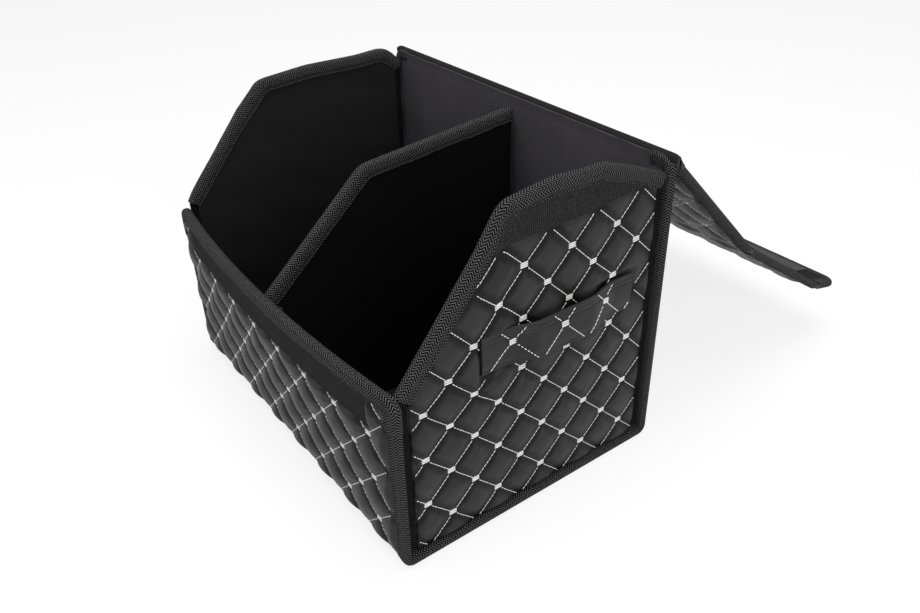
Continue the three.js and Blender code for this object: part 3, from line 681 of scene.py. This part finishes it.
# A knitted tape is folded over the front wall's top edge and sewn through all
# the layers. Its herringbone ribs meet along the middle of each face.
tape_width, rib_pitch, rib_column = 10.5, 2.7, 3.4
knit_tape = Finish("knit_tape", Roughness=0.78, Specular_IOR_Level=0.05)
tape_along, tape_across = knit_tape.own_uv()
zigzag = (tape_across * (1 / (rib_column * MM))).maths("PINGPONG", 1.0)
rib_run = tape_along * (2 * math.pi / (rib_pitch * MM)) + zigzag * (2 * math.pi * rib_column / rib_pitch)
ribs = rib_run.maths("SINE") * 0.5 + 0.5
yarn = knit_tape.noise(0.0009, 3)
# The rib crests are coloured light and the hollows between them near black: painted highlight and painted shade
# over the herringbone pattern of the knit.
rib_highlight_and_shade = (ribs * 1.9 - 0.75 + (yarn - 0.5) * 1.6).maths("MULTIPLY", 1.0, use_clamp=True)
knit_tape.wear("Base Color", knit_tape.between(rib_highlight_and_shade, grey(0.0003), grey(0.11)))
knit_tape.raise_by(ribs + yarn * 0.3, 0.0012, 1.0)

# Across one face of the tape, from its sewn foot to the edge it goes over
tape_face = [(-11.9, 0.3), (-12.1, 0.9), (-11.7, 1.6), (-10.6, 1.7), (-9.9, 1.2), (-9.2, 1.8), (-5.6, 2.2),
             (-2.4, 2.1), (-0.3, 1.6), (0.9, 0.6), (1.6, -0.8)]


def tape_profile(outside, inner):
    """A tape folded over an edge, from the foot of its outer face round the edge to
    the foot of its inner face, and back along the wall that it hugs."""
    outer = [(a, outside + h) for a, h in tape_face]
    over = [(1.85, (outside + inner) / 2)] if outside - inner > 3 else []
    under = [(a, inner - h) for a, h in reversed(tape_face)]
    hugging = [(-0.1, inner - 0.3), (0.25, inner + 0.8), (0.25, outside - 0.8), (-0.1, outside + 0.3)]
    return [*outer, *over, *under, *hugging]


def spaced(line, gap=3.0):
    """The line again, in even short steps, with its corners kept."""
    line = np.asarray(line, float)
    result = []
    for start, end in zip(line[:-1], line[1:]):
        count = max(1, math.ceil(np.linalg.norm(end - start) / gap))
        result += [start + (end - start) * k / count for k in range(count)]
    return np.array([*result, line[-1]])


def left_of(line):
    """The direction to the left of a flat line's run, at each of its points."""
    run = np.gradient(line, axis=0)
    run /= np.linalg.norm(run, axis=1)[:, None]
    return np.stack([-run[:, 1], run[:, 0]], axis=1)


def pulled(seed, count):
    """How far the sewing has pulled the tape off its line, from place to place."""
    return np.convolve(np.random.default_rng(seed).normal(0, 1, count + 8), np.ones(9) / 9, "valid")[:, None]


def edge_tape(name, line, outside, inner, place, seed):
    """A tape over a wall's edge: the edge's outside is to the left of the line."""
    line = spaced(line)
    pull = pulled(seed, len(line))
    profile = at_each(tape_profile(outside, inner), len(line))
    profile[:, :6, 0] += pull * 0.9
    profile[:, 2:12, 1] += pull[::-1] * 0.35
    level = np.zeros(len(line))
    points, outward = np.column_stack([line, level]), np.column_stack([left_of(line), level])
    tape = swept(name, knit_tape, points, outward, (0, 0, 1), profile)
    tape.data.transform(place)
    return tape


side_tape_start = 150
front_rim = [(-half_length, side_tape_start), *round_topped(half_length, 0, front_height)[2:][::-1],
             (half_length, side_tape_start)]
front_tape = edge_tape("front_top_tape", front_rim, 0, -wall_thickness, front_place, 31)
stand_in(bowed(front_tape), "front_top_binding")

# The closing lid pushes the belly of the front wall back in; here each of the wall's pieces only gets a mesh of
# its own
for piece in (front_cover, front_threads, front_felt, front_board, front_band, front_tape):
    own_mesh(piece)


# The back wall is the tallest. Its inner felt is paler where light reaches it,
# and a seam runs a finger's width inside its ends and its top.
back_height, back_quilt_top = 299, 275
seam_from_middle, seam_height, seam_width = 184, 291, 2.5
# A paler copy of the black felt: painted light, for the light that reaches the back wall's inner face.
pale_felt = Finish("pale_felt", Roughness=0.95, Specular_IOR_Level=0.2)
pale_fibres = pale_felt.noise(0.0012, 4)
pale_felt.wear("Base Color", pale_felt.between(
    pale_fibres * 0.6 + pale_felt.noise(0.06, 2) * 0.4, (0.026, 0.0245, 0.027, 1), (0.085, 0.08, 0.088, 1)))
pale_felt.raise_by(pale_fibres, 0.0004, 0.5)

back_place = standing(180, 0, half_depth)
back_area = rectangle(-quilt_half, quilt_half, quilt_foot, back_quilt_top)
quilted_wall("back", round_topped(half_length, front_bottom, back_height), back_area, front_nodes, back_place,
             puff_height, 25, 12)

back_felt = trimmed_sheet(round_topped(half_length, base_lining_bottom, back_height), (4, 4))
felt_points = coordinates(back_felt)
felt_u, felt_v = felt_points[:, 0] / MM, felt_points[:, 1] / MM
end_crease = 0.7 * np.exp(-(((np.abs(felt_u) - seam_from_middle) / seam_width) ** 2))
top_crease = 0.5 * np.exp(-(((felt_v - seam_height) / seam_width) ** 2))
near_end = np.exp(-(((np.abs(felt_u) - 155) / 36) ** 2))
ripples = near_end * np.sin(felt_u / 6.3 + np.sin(felt_v / 45) * 1.6)
relief = end_crease + top_crease + ripples * 0.75 + 0.8 * waves(felt_points, 6, 80)
felt_points[:, 2] = (relief - wall_thickness - 0.6) * MM
set_coordinates(back_felt, felt_points)
solidify(back_felt, lining_thickness, 1, 50)
back_felt.data.transform(back_place)
stand_in(named(back_felt, "back_felt", pale_felt), "back_lining")


# One tape at each side runs down the front wall's end, under the base and up
# the back wall's end, folded over all three.
wall_line = spaced([
    (-half_depth, side_tape_start - 0.1),
    (-half_depth, fold_height),
    *arc((fold_radius - half_depth, fold_height), fold_radius, 180, 270)[1:-1],
    (fold_radius - half_depth, edge_growth),
    (half_depth - fold_radius, edge_growth),
    *arc((half_depth - fold_radius, fold_height), fold_radius, -90, 0)[1:-1],
    (half_depth, fold_height),
    (half_depth, back_height - corner_radius),
])
pressed = 1.0
corner_turn = np.array(arc((0, 0), 1, 0, 90, 8)[1:] + [(0, 1)] * 4)
corner_run = np.array([0] * 8 + [3, 6, 9, 12])
level, corner_level = np.zeros(len(wall_line)), np.zeros(len(corner_run))
station_count = len(wall_line) + len(corner_run)
for side_name, way in (("right", 1), ("left", -1)):
    corner_x = way * (half_length - corner_radius + corner_radius * corner_turn[:, 0] - corner_run)
    corner_z = back_height - corner_radius + corner_radius * corner_turn[:, 1]
    points = np.vstack([
        np.column_stack([level + way * half_length, wall_line]),
        np.column_stack([corner_x, corner_level + half_depth, corner_z])])
    outward = np.vstack([
        [(way, 0, 0)] * len(wall_line),
        np.column_stack([way * corner_turn[:, 0], corner_level, corner_turn[:, 1]])])
    facing = np.vstack([np.column_stack([level, -left_of(wall_line)]), [(0, 1, 0)] * len(corner_run)])
    profile = at_each(tape_profile(-pressed, pressed - wall_thickness), station_count)
    profile[:, :6, 0] += pulled(40 + way, station_count) * 0.9
    side_tape = swept(f"{side_name}_side_tape", knit_tape, points, outward, facing, profile)
    stand_in(bowed(side_tape), f"{side_name}_side_binding")


# The two ends are five-sided boarded panels. The cloth pulls their shoulders
# and crown a little differently on the right and on the left.
end_inset, end_front_height, rear_corner_height = 5, 169, 276
panel_half, panel_bottom, inside_reach = 128.9, 9.4, 137.2
end_band_foot, end_first_node = 278, 28.7
handle_from_front, handle_height_middle, handle_half, strap_half = 168, 184, 83, 18
pressed_length, tab_length = 44, 22
end_shoulders = {
    "right": [(106, 311), (162, 316), (211, 312)],
    "left": [(106, 299), (162, 304), (260, 303)],
}
shoulder_radii = (24, 120, 24)
drawn_rise = {
    "right": [(-145, 0), (-127, -2), (-98, -5), (-60, -8), (-46, -6), (-34, -2), (-10, -1), (50, -1),
              (80, 2), (104, 4), (140, 5)],
    "left": [(-145, 6), (-133, 11), (-124, 11), (-98, 9), (-68, 8), (-50, 3), (-33, 0), (80, -1),
             (112, 1), (127, 4), (140, 3)],
}


def rounded(line, radii, steps=8):
    """Rounds the inner corners of an open line by a radius each."""
    result = [line[0]]
    for before, corner, after, radius in zip(line[:-2], line[1:-1], line[2:], radii):
        corner = Vector(corner)
        to_before, to_after = Vector(before) - corner, Vector(after) - corner
        half_turn = (math.pi - to_before.angle(to_after)) / 2
        room = 0.45 * min(to_before.length, to_after.length)
        radius = min(radius, room / math.tan(half_turn))
        tangent = radius * math.tan(half_turn)
        to_before.normalize()
        to_after.normalize()
        centre = corner + (to_before + to_after).normalized() * (radius / math.cos(half_turn))
        start, end = corner + to_before * tangent - centre, corner + to_after * tangent - centre
        a0, a1 = math.atan2(start.y, start.x), math.atan2(end.y, end.x)
        turn = (a1 - a0 + math.pi) % (2 * math.pi) - math.pi
        result += arc(centre, radius, math.degrees(a0), math.degrees(a0 + turn), steps)
    return [*result, line[-1]]


def within_reach(line, u0, u1):
    """Keeps an open line, drawn from left to right, between two values of u."""
    line = np.asarray(line, float)
    kept = [(u, v) for u, v in line if u0 < u < u1]
    return [(u0, np.interp(u0, line[:, 0], line[:, 1])), *kept, (u1, np.interp(u1, line[:, 0], line[:, 1]))]


def below(line, bottom):
    """The convex outline under an open line drawn from left to right."""
    return [(line[0][0], bottom), (line[-1][0], bottom), *[tuple(p) for p in line[::-1]]]


def lowered(line, distance):
    return np.array(ribbon(line, 0, -distance)[len(line):])[::-1]


def drawn(piece, side_name):
    """The cloth of an end is pulled a little out of true along its upper edge."""
    points = coordinates(piece)
    y, rise = np.array(drawn_rise[side_name], float).T
    share = np.clip((points[:, 2] / MM - 110) / 70, 0, 1)
    points[:, 2] += np.interp(points[:, 1] / MM, y, rise) * MM * share * share * (3 - 2 * share)
    set_coordinates(piece, points)
    return piece


def right_drawn(piece):
    return drawn(piece, "right")


def left_drawn(piece):
    return drawn(piece, "left")


def strips(middle, outer, inner, low, high):
    """Two upright strips, one at each side of a middle line."""
    return [rectangle(middle - outer, middle - inner, low, high),
            rectangle(middle + inner, middle + outer, low, high)]


press_low, press_high = handle_height_middle - strap_half - 1, handle_height_middle + strap_half + 1
ends = {}
for side_name, way in (("right", 1), ("left", -1)):
    top = [(-half_depth, end_front_height), *((f - half_depth, h) for f, h in end_shoulders[side_name]),
           (half_depth, rear_corner_height)]
    top = rounded(top, shoulder_radii)
    if way < 0:
        top = [(-u, v) for u, v in reversed(top)]
    place = standing(way * 90, way * (half_length - end_inset), 0)
    outline = below(within_reach(top, -panel_half, panel_half), panel_bottom)
    area = below(within_reach(lowered(top, tape_width + 1), 1 - panel_half, panel_half - 1), panel_bottom + 1)
    handle_u = way * (handle_from_front - half_depth)
    presses = strips(handle_u, handle_half + 1, handle_half - pressed_length, press_low, press_high)
    tabs = strips(handle_u, handle_half, handle_half - tab_length, press_low + 1, press_high - 1)
    above_band = rectangle(-half_depth, half_depth, end_band_foot - 1, 400)
    nodes_from = (way * (end_first_node - half_depth), first_stitch_height)
    shaped = right_drawn if way > 0 else left_drawn
    quilted_wall(
        f"{side_name}_end", outline, area, nodes_from, place, puff_height, 22, 13 + way,
        [above_band, *presses], [above_band, *tabs], shaped=shaped)
    felt_lining(f"{side_name}_end", outline, place, 2.4, 50 + way, shaped=shaped)

    stiffener_outline = below(within_reach(lowered(top, 2), -panel_half, panel_half), panel_bottom + 1)
    stiffener = felt_sheet(
        f"{side_name}_end_stiffener", fibre_board, stiffener_outline, stiffener_face, stiffener_thickness,
        place, 0.0, 5, into=1)
    stand_in(drawn(stiffener, side_name), f"{side_name}_end_board")

    pile_top = within_reach(lowered(top, tape_width - 0.4), 0.4 - panel_half, panel_half - 0.4)
    u_line, v_line = np.array(pile_top).T
    crown = np.argmax(v_line)
    left_cross = np.interp(end_band_foot, v_line[:crown + 1], u_line[:crown + 1])
    right_cross = np.interp(-end_band_foot, -v_line[crown:], u_line[crown:])
    pile_outline = [(left_cross, end_band_foot), (right_cross, end_band_foot),
                    *[(u, v) for u, v in pile_top if v > end_band_foot][::-1]]
    band = pile_band(f"{side_name}_end_pile_band", pile_outline, place, 23 + way)
    stand_in(drawn(band, side_name), f"{side_name}_end_loop_band")

    tape_line = within_reach(top, -inside_reach, inside_reach)
    tape = edge_tape(f"{side_name}_end_tape", tape_line, 0, -wall_thickness, place, 33 + way)
    stand_in(drawn(tape, side_name), f"{side_name}_end_binding")
    ends[side_name] = (top, place, handle_u)


# Narrow knitted strips join each end to the long walls at its two upright
# edges, so that the bag can fold flat.
strip_face, strip_bulge, strip_thickness, strip_inner_edge, strip_foot = -1.0, 0.9, 1.8, 129.2, 10.9
joining_knit = Finish("joining_knit", Roughness=0.9, Specular_IOR_Level=0.05)
strip_rows = joining_knit.noise(0.002, 2, (1, 1, 0.35))
joining_knit.wear("Base Color", joining_knit.between(strip_rows, grey(0.002), grey(0.012)))
joining_knit.raise_by(strip_rows, 0.0008, 0.7)
for side_name, (top, place, handle_u) in ends.items():
    for u0, u1 in ((-inside_reach, -strip_inner_edge), (strip_inner_edge, inside_reach)):
        where = "front" if (u0 < 0) == (side_name == "right") else "rear"
        strip = trimmed_sheet(below(within_reach(lowered(top, 1.5), u0, u1), strip_foot), (1.6, 6))
        points = coordinates(strip)
        bulge = 1 - ((points[:, 0] / MM - (u0 + u1) / 2) / 4.0) ** 2
        points[:, 2] = (strip_face - strip_bulge * bulge + 0.35 * np.sin(points[:, 1] / MM / 9)) * MM
        set_coordinates(strip, points)
        solidify(strip, strip_thickness)
        strip.data.transform(place)
        named(strip, f"{side_name}_{where}_knit_strip", joining_knit)
        stand_in(drawn(strip, side_name), f"{side_name}_{where}_joining_strip")


# A carrying handle at each end is a flat strap of the same quilted leatherette,
# folded lengthwise and sewn down at its two tabs, with its top edge standing off.
sewn_length, ramp_length, standoff, handle_lean = 21, 36, 8.8, -1.4
strap_stations, node_from_middle, node_above_middle = 70, 3, 5
strap_face = [(-18, 0.4), (-17.6, 2.3), (-15, 2.75), (-14.2, 2.45), (-13.4, 2.8), (-6, 2.95), (0, 3.0),
              (6, 2.95), (9.4, 2.8), (10.2, 2.35), (11, 2.85), (13.2, 2.9), (14, 2.4), (14.8, 2.8),
              (17.4, 2.4), (18, 1.3)]
strap_back = [(17.7, 0.2), (9, 0), (0, 0), (-9, 0), (-17.5, 0.05)]
for side_name, (top, place, handle_u) in ends.items():
    u = np.linspace(-handle_half, handle_half, strap_stations)
    rise = np.clip((handle_half - sewn_length - np.abs(u)) / ramp_length, 0, 1)
    rise = rise * rise * (3 - 2 * rise)
    lift = 0.3 + standoff * rise + 0.25 * np.sin(u / 9) * rise
    profile = at_each(strap_face + strap_back, strap_stations)
    profile[:, :, 1] += handle_lean * rise[:, None] * profile[:, :, 0] / strap_half
    creases = 0.25 * np.sin(u / 6)[:, None] * np.sin(profile[:, :, 0] / 5)
    profile[:, :, 1] += creases * (profile[:, :, 1] > 1.5)
    profile[:, :, 0] *= (1 - 0.04 * rise)[:, None]
    level = np.zeros(strap_stations)
    facing = np.column_stack([-np.gradient(lift, u), level, level + 1])
    facing /= np.linalg.norm(facing, axis=1)[:, None]
    points = np.column_stack([u + handle_u, level + handle_height_middle, lift])
    strap = swept(f"{side_name}_handle_strap", leatherette, points, (0, 1, 0), facing, profile, 40)
    surface = BVHTree.FromObject(strap, bpy.context.evaluated_depsgraph_get())
    strap.data.transform(place)
    stand_in(strap, f"{side_name}_handle")

    strap_area = rectangle(
        handle_u - handle_half + 2, handle_u + handle_half - 2,
        handle_height_middle - strap_half + 1, handle_height_middle + strap_half - 1)
    inward = 1 if side_name == "right" else -1
    strap_nodes = (handle_u - node_from_middle * inward, handle_height_middle + node_above_middle)
    stitches, bars = thread_places(strap_area, [], strap_nodes, surface)
    middle_bars = [spot for spot in bars if abs(spot.translation.y / MM - strap_nodes[1]) < 4]
    strap_threads = sewn(f"{side_name}_handle_threads", [(stitch, stitches), (bar, middle_bars)], place)
    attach(strap_threads, "bag")


# The divider is a board between two felts, bound along its top, and held
# upright by strips of hooks at its two ends, which grip the walls' felt.
divider_half, divider_bottom, divider_reach = 137.1, 7.8, 149.5
felt_face, divider_felt_thickness = 3.2, 1.6
divider_felt = felt_finish("divider_felt", 0.0008, 0.004, 0.98, 0.08)
hook_tape = Finish("hook_tape", Roughness=0.7)
hook_dots = hook_tape.add("ShaderNodeTexVoronoi", {}, {"Vector": hook_tape.place(), "Scale": 700})
hook_tape.wear("Base Color", hook_tape.between(hook_dots, grey(0.03), grey(0.006)))
hook_tape.raise_by(hook_dots, 0.0008, 0.8)
divider_place = standing(90)
divider_line = rounded([(-154, 166), (-37, 270), (half_depth, 286)], (24,))
divider_top = within_reach(divider_line, -divider_reach, divider_half)
divider_outline = [(-divider_half, divider_bottom), *below(divider_top, divider_bottom)[1:]]
for side_name, way in (("right", 1), ("left", -1)):
    felt = felt_sheet(
        f"divider_{side_name}_face", divider_felt, divider_outline, way * felt_face, divider_felt_thickness,
        divider_place, 0.25, 60 - way, -way)
    stand_in(felt, f"divider_{side_name}_felt")
divider_tape = edge_tape("divider_tape", divider_top, felt_face, -felt_face, divider_place, 36)
stand_in(divider_tape, "divider_binding")
dress(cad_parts["divider_front_hook_strip"], hook_tape)
dress(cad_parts["divider_rear_hook_strip"], hook_tape)


# The lid is three boarded leaves in one quilted cover. It hangs open behind the
# bag: a top leaf, a sloping leaf and a front flap with rounded corners.
def leaf_place(y, z, angle, lift):
    """A leaf is drawn with v running away from the back wall, quilting up."""
    hinge = Matrix.Translation((0, y * MM, z * MM)) @ Matrix.Rotation(math.radians(angle - 90), 4, "X")
    return hinge @ standing(180) @ Matrix.Translation((0, 0, lift * MM))


flap_corner, flap_foot, flap_end = 16, 5.6, 42
flap_rim = rounded(
    [(-half_length, flap_foot), (-half_length, flap_end), (half_length, flap_end), (half_length, flap_foot)],
    (flap_corner, flap_corner))
lid_hinge, lid_fold, flap_fold = (146.2, 299.9), (272.878, 166.363), (415.473, 70.182)
top_angle, slope_angle, flap_angle = -45, -34, -14
# Each leaf's body and place, and where its cloth and its quilting start and end
leaves = {
    "lid_top": ("lid top leaf", leaf_place(*lid_hinge, top_angle, 7.8), 15, 180, 24, 173.5),
    "lid_slope": ("lid slope leaf", leaf_place(*lid_fold, slope_angle, 2.95), 4, 168, 11.5, 160.5),
    "lid_flap": ("lid front flap", leaf_place(*flap_fold, flap_angle, 2.95), 4, flap_end, 11.5, 30.5),
}
for leaf_name, (body, place, v0, v1, quilt_from, quilt_to) in leaves.items():
    flap = leaf_name == "lid_flap"
    outline = rectangle(-half_length, half_length, v0, v1)
    if flap:
        outline = [(-half_length, v0), (half_length, v0), *[tuple(p) for p in flap_rim[1:-1][::-1]]]
    area, nodes_from = rectangle(-quilt_half, quilt_half, quilt_from, quilt_to), (0, quilt_from)
    quilted_wall(
        leaf_name, outline, area, nodes_from, place, puff_height, 25, 70 + len(leaf_name), body=body)
    felt_lining(leaf_name, outline, place, 0.3, 80 + len(leaf_name), body)
    if flap:
        edges = [("", flap_rim, 91)]
    else:
        side_line = [(half_length, min(v0 + 0.5, 9)), (half_length, v1 - 0.5)]
        edges = [("_right", [(-u, v) for u, v in side_line], 91), ("_left", side_line[::-1], 93)]
    for side, line, seed in edges:
        tape = edge_tape(f"{leaf_name}{side}_tape", line, -pressed, pressed - wall_thickness, place, seed)
        stand_in(tape, f"{leaf_name}{side}_binding", body)
dress(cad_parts["lid_flap_hook_strip"], hook_tape)


# Bare cover cloth and felt run from the back wall over to the lid, and from
# leaf to leaf, as soft hinges.
def turned_about(point, y, z, angle):
    """A point of a leaf, as its distance along and across the leaf, in the YZ plane."""
    a = math.radians(angle)
    along, across = point
    return (y + along * math.cos(a) + across * math.sin(a), z + along * math.sin(a) - across * math.cos(a))


hinge_reach, narrow_length, narrowing = half_length + 1.9, 8, 0.34
near_rim = np.array([0, 0.8, 2, 3.6, 5.6, narrow_length])
even_half, even_stations = hinge_reach - 11, 38
hinge_x = np.concatenate([
    near_rim - hinge_reach, np.linspace(-even_half, even_half, even_stations), (hinge_reach - near_rim)[::-1]])


def hinge_cloth(name, loop, flat_length, finish=leatherette):
    """A soft hinge along the bag, a little narrower at its two rounded ends."""
    loop = np.array(loop)
    narrowed = 1 - narrowing * np.clip(1 - (hinge_reach - np.abs(hinge_x)) / narrow_length, 0, 1) ** 2
    profile = loop.mean(axis=0) + (loop - loop.mean(axis=0))[None] * narrowed[:, None, None]
    cloth = swept(name, finish, [(x, 0, 0) for x in hinge_x], (0, 1, 0), (0, 0, 1), profile, 60)
    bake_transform(cloth)
    flat_length * MM


def soft(line, steps=4):
    """A smooth line through the points given."""
    line = np.asarray(line, float)
    padded = np.vstack([2 * line[0] - line[1], line, 2 * line[-1] - line[-2]])
    result = []
    for p0, p1, p2, p3 in zip(padded, padded[1:], padded[2:], padded[3:]):
        for t in np.arange(steps) / steps:
            result.append(0.5 * (2 * p1 + (p2 - p0) * t + (2 * p0 - 5 * p1 + 4 * p2 - p3) * t * t
                                 + (3 * p1 - p0 - 3 * p2 + p3) * t ** 3))
    return [*result, line[-1]]


cover_over = soft([
    (145.0, 284), (145.2, 291), (145.6, 297), (146.6, 299.6), (149.0, 296.4),
    *(turned_about(point, *lid_hinge, top_angle) for point in ((9, 5.5), (15.5, 7.2)))])
felt_over = soft([
    (140.1, 295), (140.1, 299.4), (142.5, 301.0), (146.5, 301.2),
    *(turned_about(point, *lid_hinge, top_angle) for point in ((6, 0.6), (17, 1.6)))])
bodies, boards = ("bag", "lid top leaf"), ["back_board", "lid_top_board"]
hinge_cloth(
    "lid_hinge_cover", [*cover_over, *felt_over[::-1]], 33)
hinge_cloth(
    "lid_hinge_felt", ribbon(felt_over, 0.3, -0.9), 26,
    black_felt)

# Round a fold: distance along and across a leaf, and whether that is the second
fold_loop = [
    [(-6, 2.9, 0), (-3, 2.7, 0), (0, 2.2, 0), (3, 2.7, 1), (6, 2.9, 1)],
    [(6, -3.0, 1), (3, -2.8, 1), (0, -2.4, 1), (-3, -2.8, 0), (-6, -3.0, 0)],
]
for name, bodies, fold, angles, boards in (
        ("lid_fold_cloth", ("lid top leaf", "lid slope leaf"), lid_fold, (top_angle, slope_angle),
         ["lid_top_board", "lid_slope_board"]),
        ("flap_fold_cloth", ("lid slope leaf", "lid front flap"), flap_fold, (slope_angle, flap_angle),
         ["lid_slope_board", "lid_flap_board"])):
    loop = []
    for face in fold_loop:
        loop += soft([turned_about((along, across), *fold, angles[leaf]) for along, across, leaf in face], 3)
    hinge_cloth(name, loop, 13)


# The floor and the light: a pale floor that fades into a white surround, with
# large soft lamps above, at the front and at the right.
def seen_itself(tree):
    """1 for what the camera sees, directly or in gloss or glass, and 0 for light."""
    path = tree.nodes.new("ShaderNodeLightPath")
    seen = path.outputs["Is Camera Ray"]
    for kind in ("Is Glossy Ray", "Is Transmission Ray"):
        either = tree.nodes.new("ShaderNodeMath")
        either.operation = "MAXIMUM"
        tree.links.new(seen, either.inputs[0])
        tree.links.new(path.outputs[kind], either.inputs[1])
        seen = either.outputs[0]
    return seen


def mix_into(tree, output, share, first, second):
    mix = tree.nodes.new("ShaderNodeMixShader")
    for source, socket in zip((share, first, second), mix.inputs):
        tree.links.new(source, socket)
    tree.links.new(mix.outputs[0], tree.nodes[output].inputs[0])


floor_finish = Finish("pale_floor", Roughness=0.9)
floor_finish.wear("Base Color", grey(0.93))
tree = floor_finish.tree
white = tree.nodes.new("ShaderNodeEmission")
white.inputs["Strength"].default_value = 1.0
whiteness = Shade(floor_finish, seen_itself(tree)) * 0.82
mix_into(tree, "Material Output", whiteness.socket, floor_finish.shader.outputs[0], white.outputs[0])
bpy.ops.object.select_all(action="DESELECT")
bpy.ops.mesh.primitive_grid_add(x_subdivisions=8, y_subdivisions=8, size=14, location=(0, 0, -0.0005))
named(bpy.context.object, "studio_floor", floor_finish)

world = bpy.data.worlds.new("white_surround")
bpy.context.scene.world = world
world.use_nodes = True
tree = world.node_tree
soft_light = tree.nodes["Background"]
soft_light.inputs["Color"].default_value = (1, 1, 1, 1)
soft_light.inputs["Strength"].default_value = 0.28
white_back = tree.nodes.new("ShaderNodeBackground")
white_back.inputs["Strength"].default_value = 1.0
mix_into(tree, "World Output", seen_itself(tree), soft_light.outputs[0], white_back.outputs[0])


def soft_lamp(name, place, aim, size, power):
    lamp = bpy.data.lights.new(name, "AREA")
    lamp.shape, lamp.size, lamp.energy = "SQUARE", size, power
    stand = bpy.data.objects.new(name, lamp)
    bpy.context.scene.collection.objects.link(stand)
    stand.location = place
    stand.rotation_euler = (Vector(aim) - Vector(place)).to_track_quat("-Z", "Y").to_euler()


soft_lamp("overhead_lamp", (0.1, 0.1, 2.1), (0, 0, 0.1), 1.6, 38)
soft_lamp("front_lamp", (-0.6, -2.0, 1.5), (0, 0, 0.15), 1.2, 13)
soft_lamp("right_lamp", (2.1, -0.2, 1.3), (0, 0, 0.15), 1.2, 25)
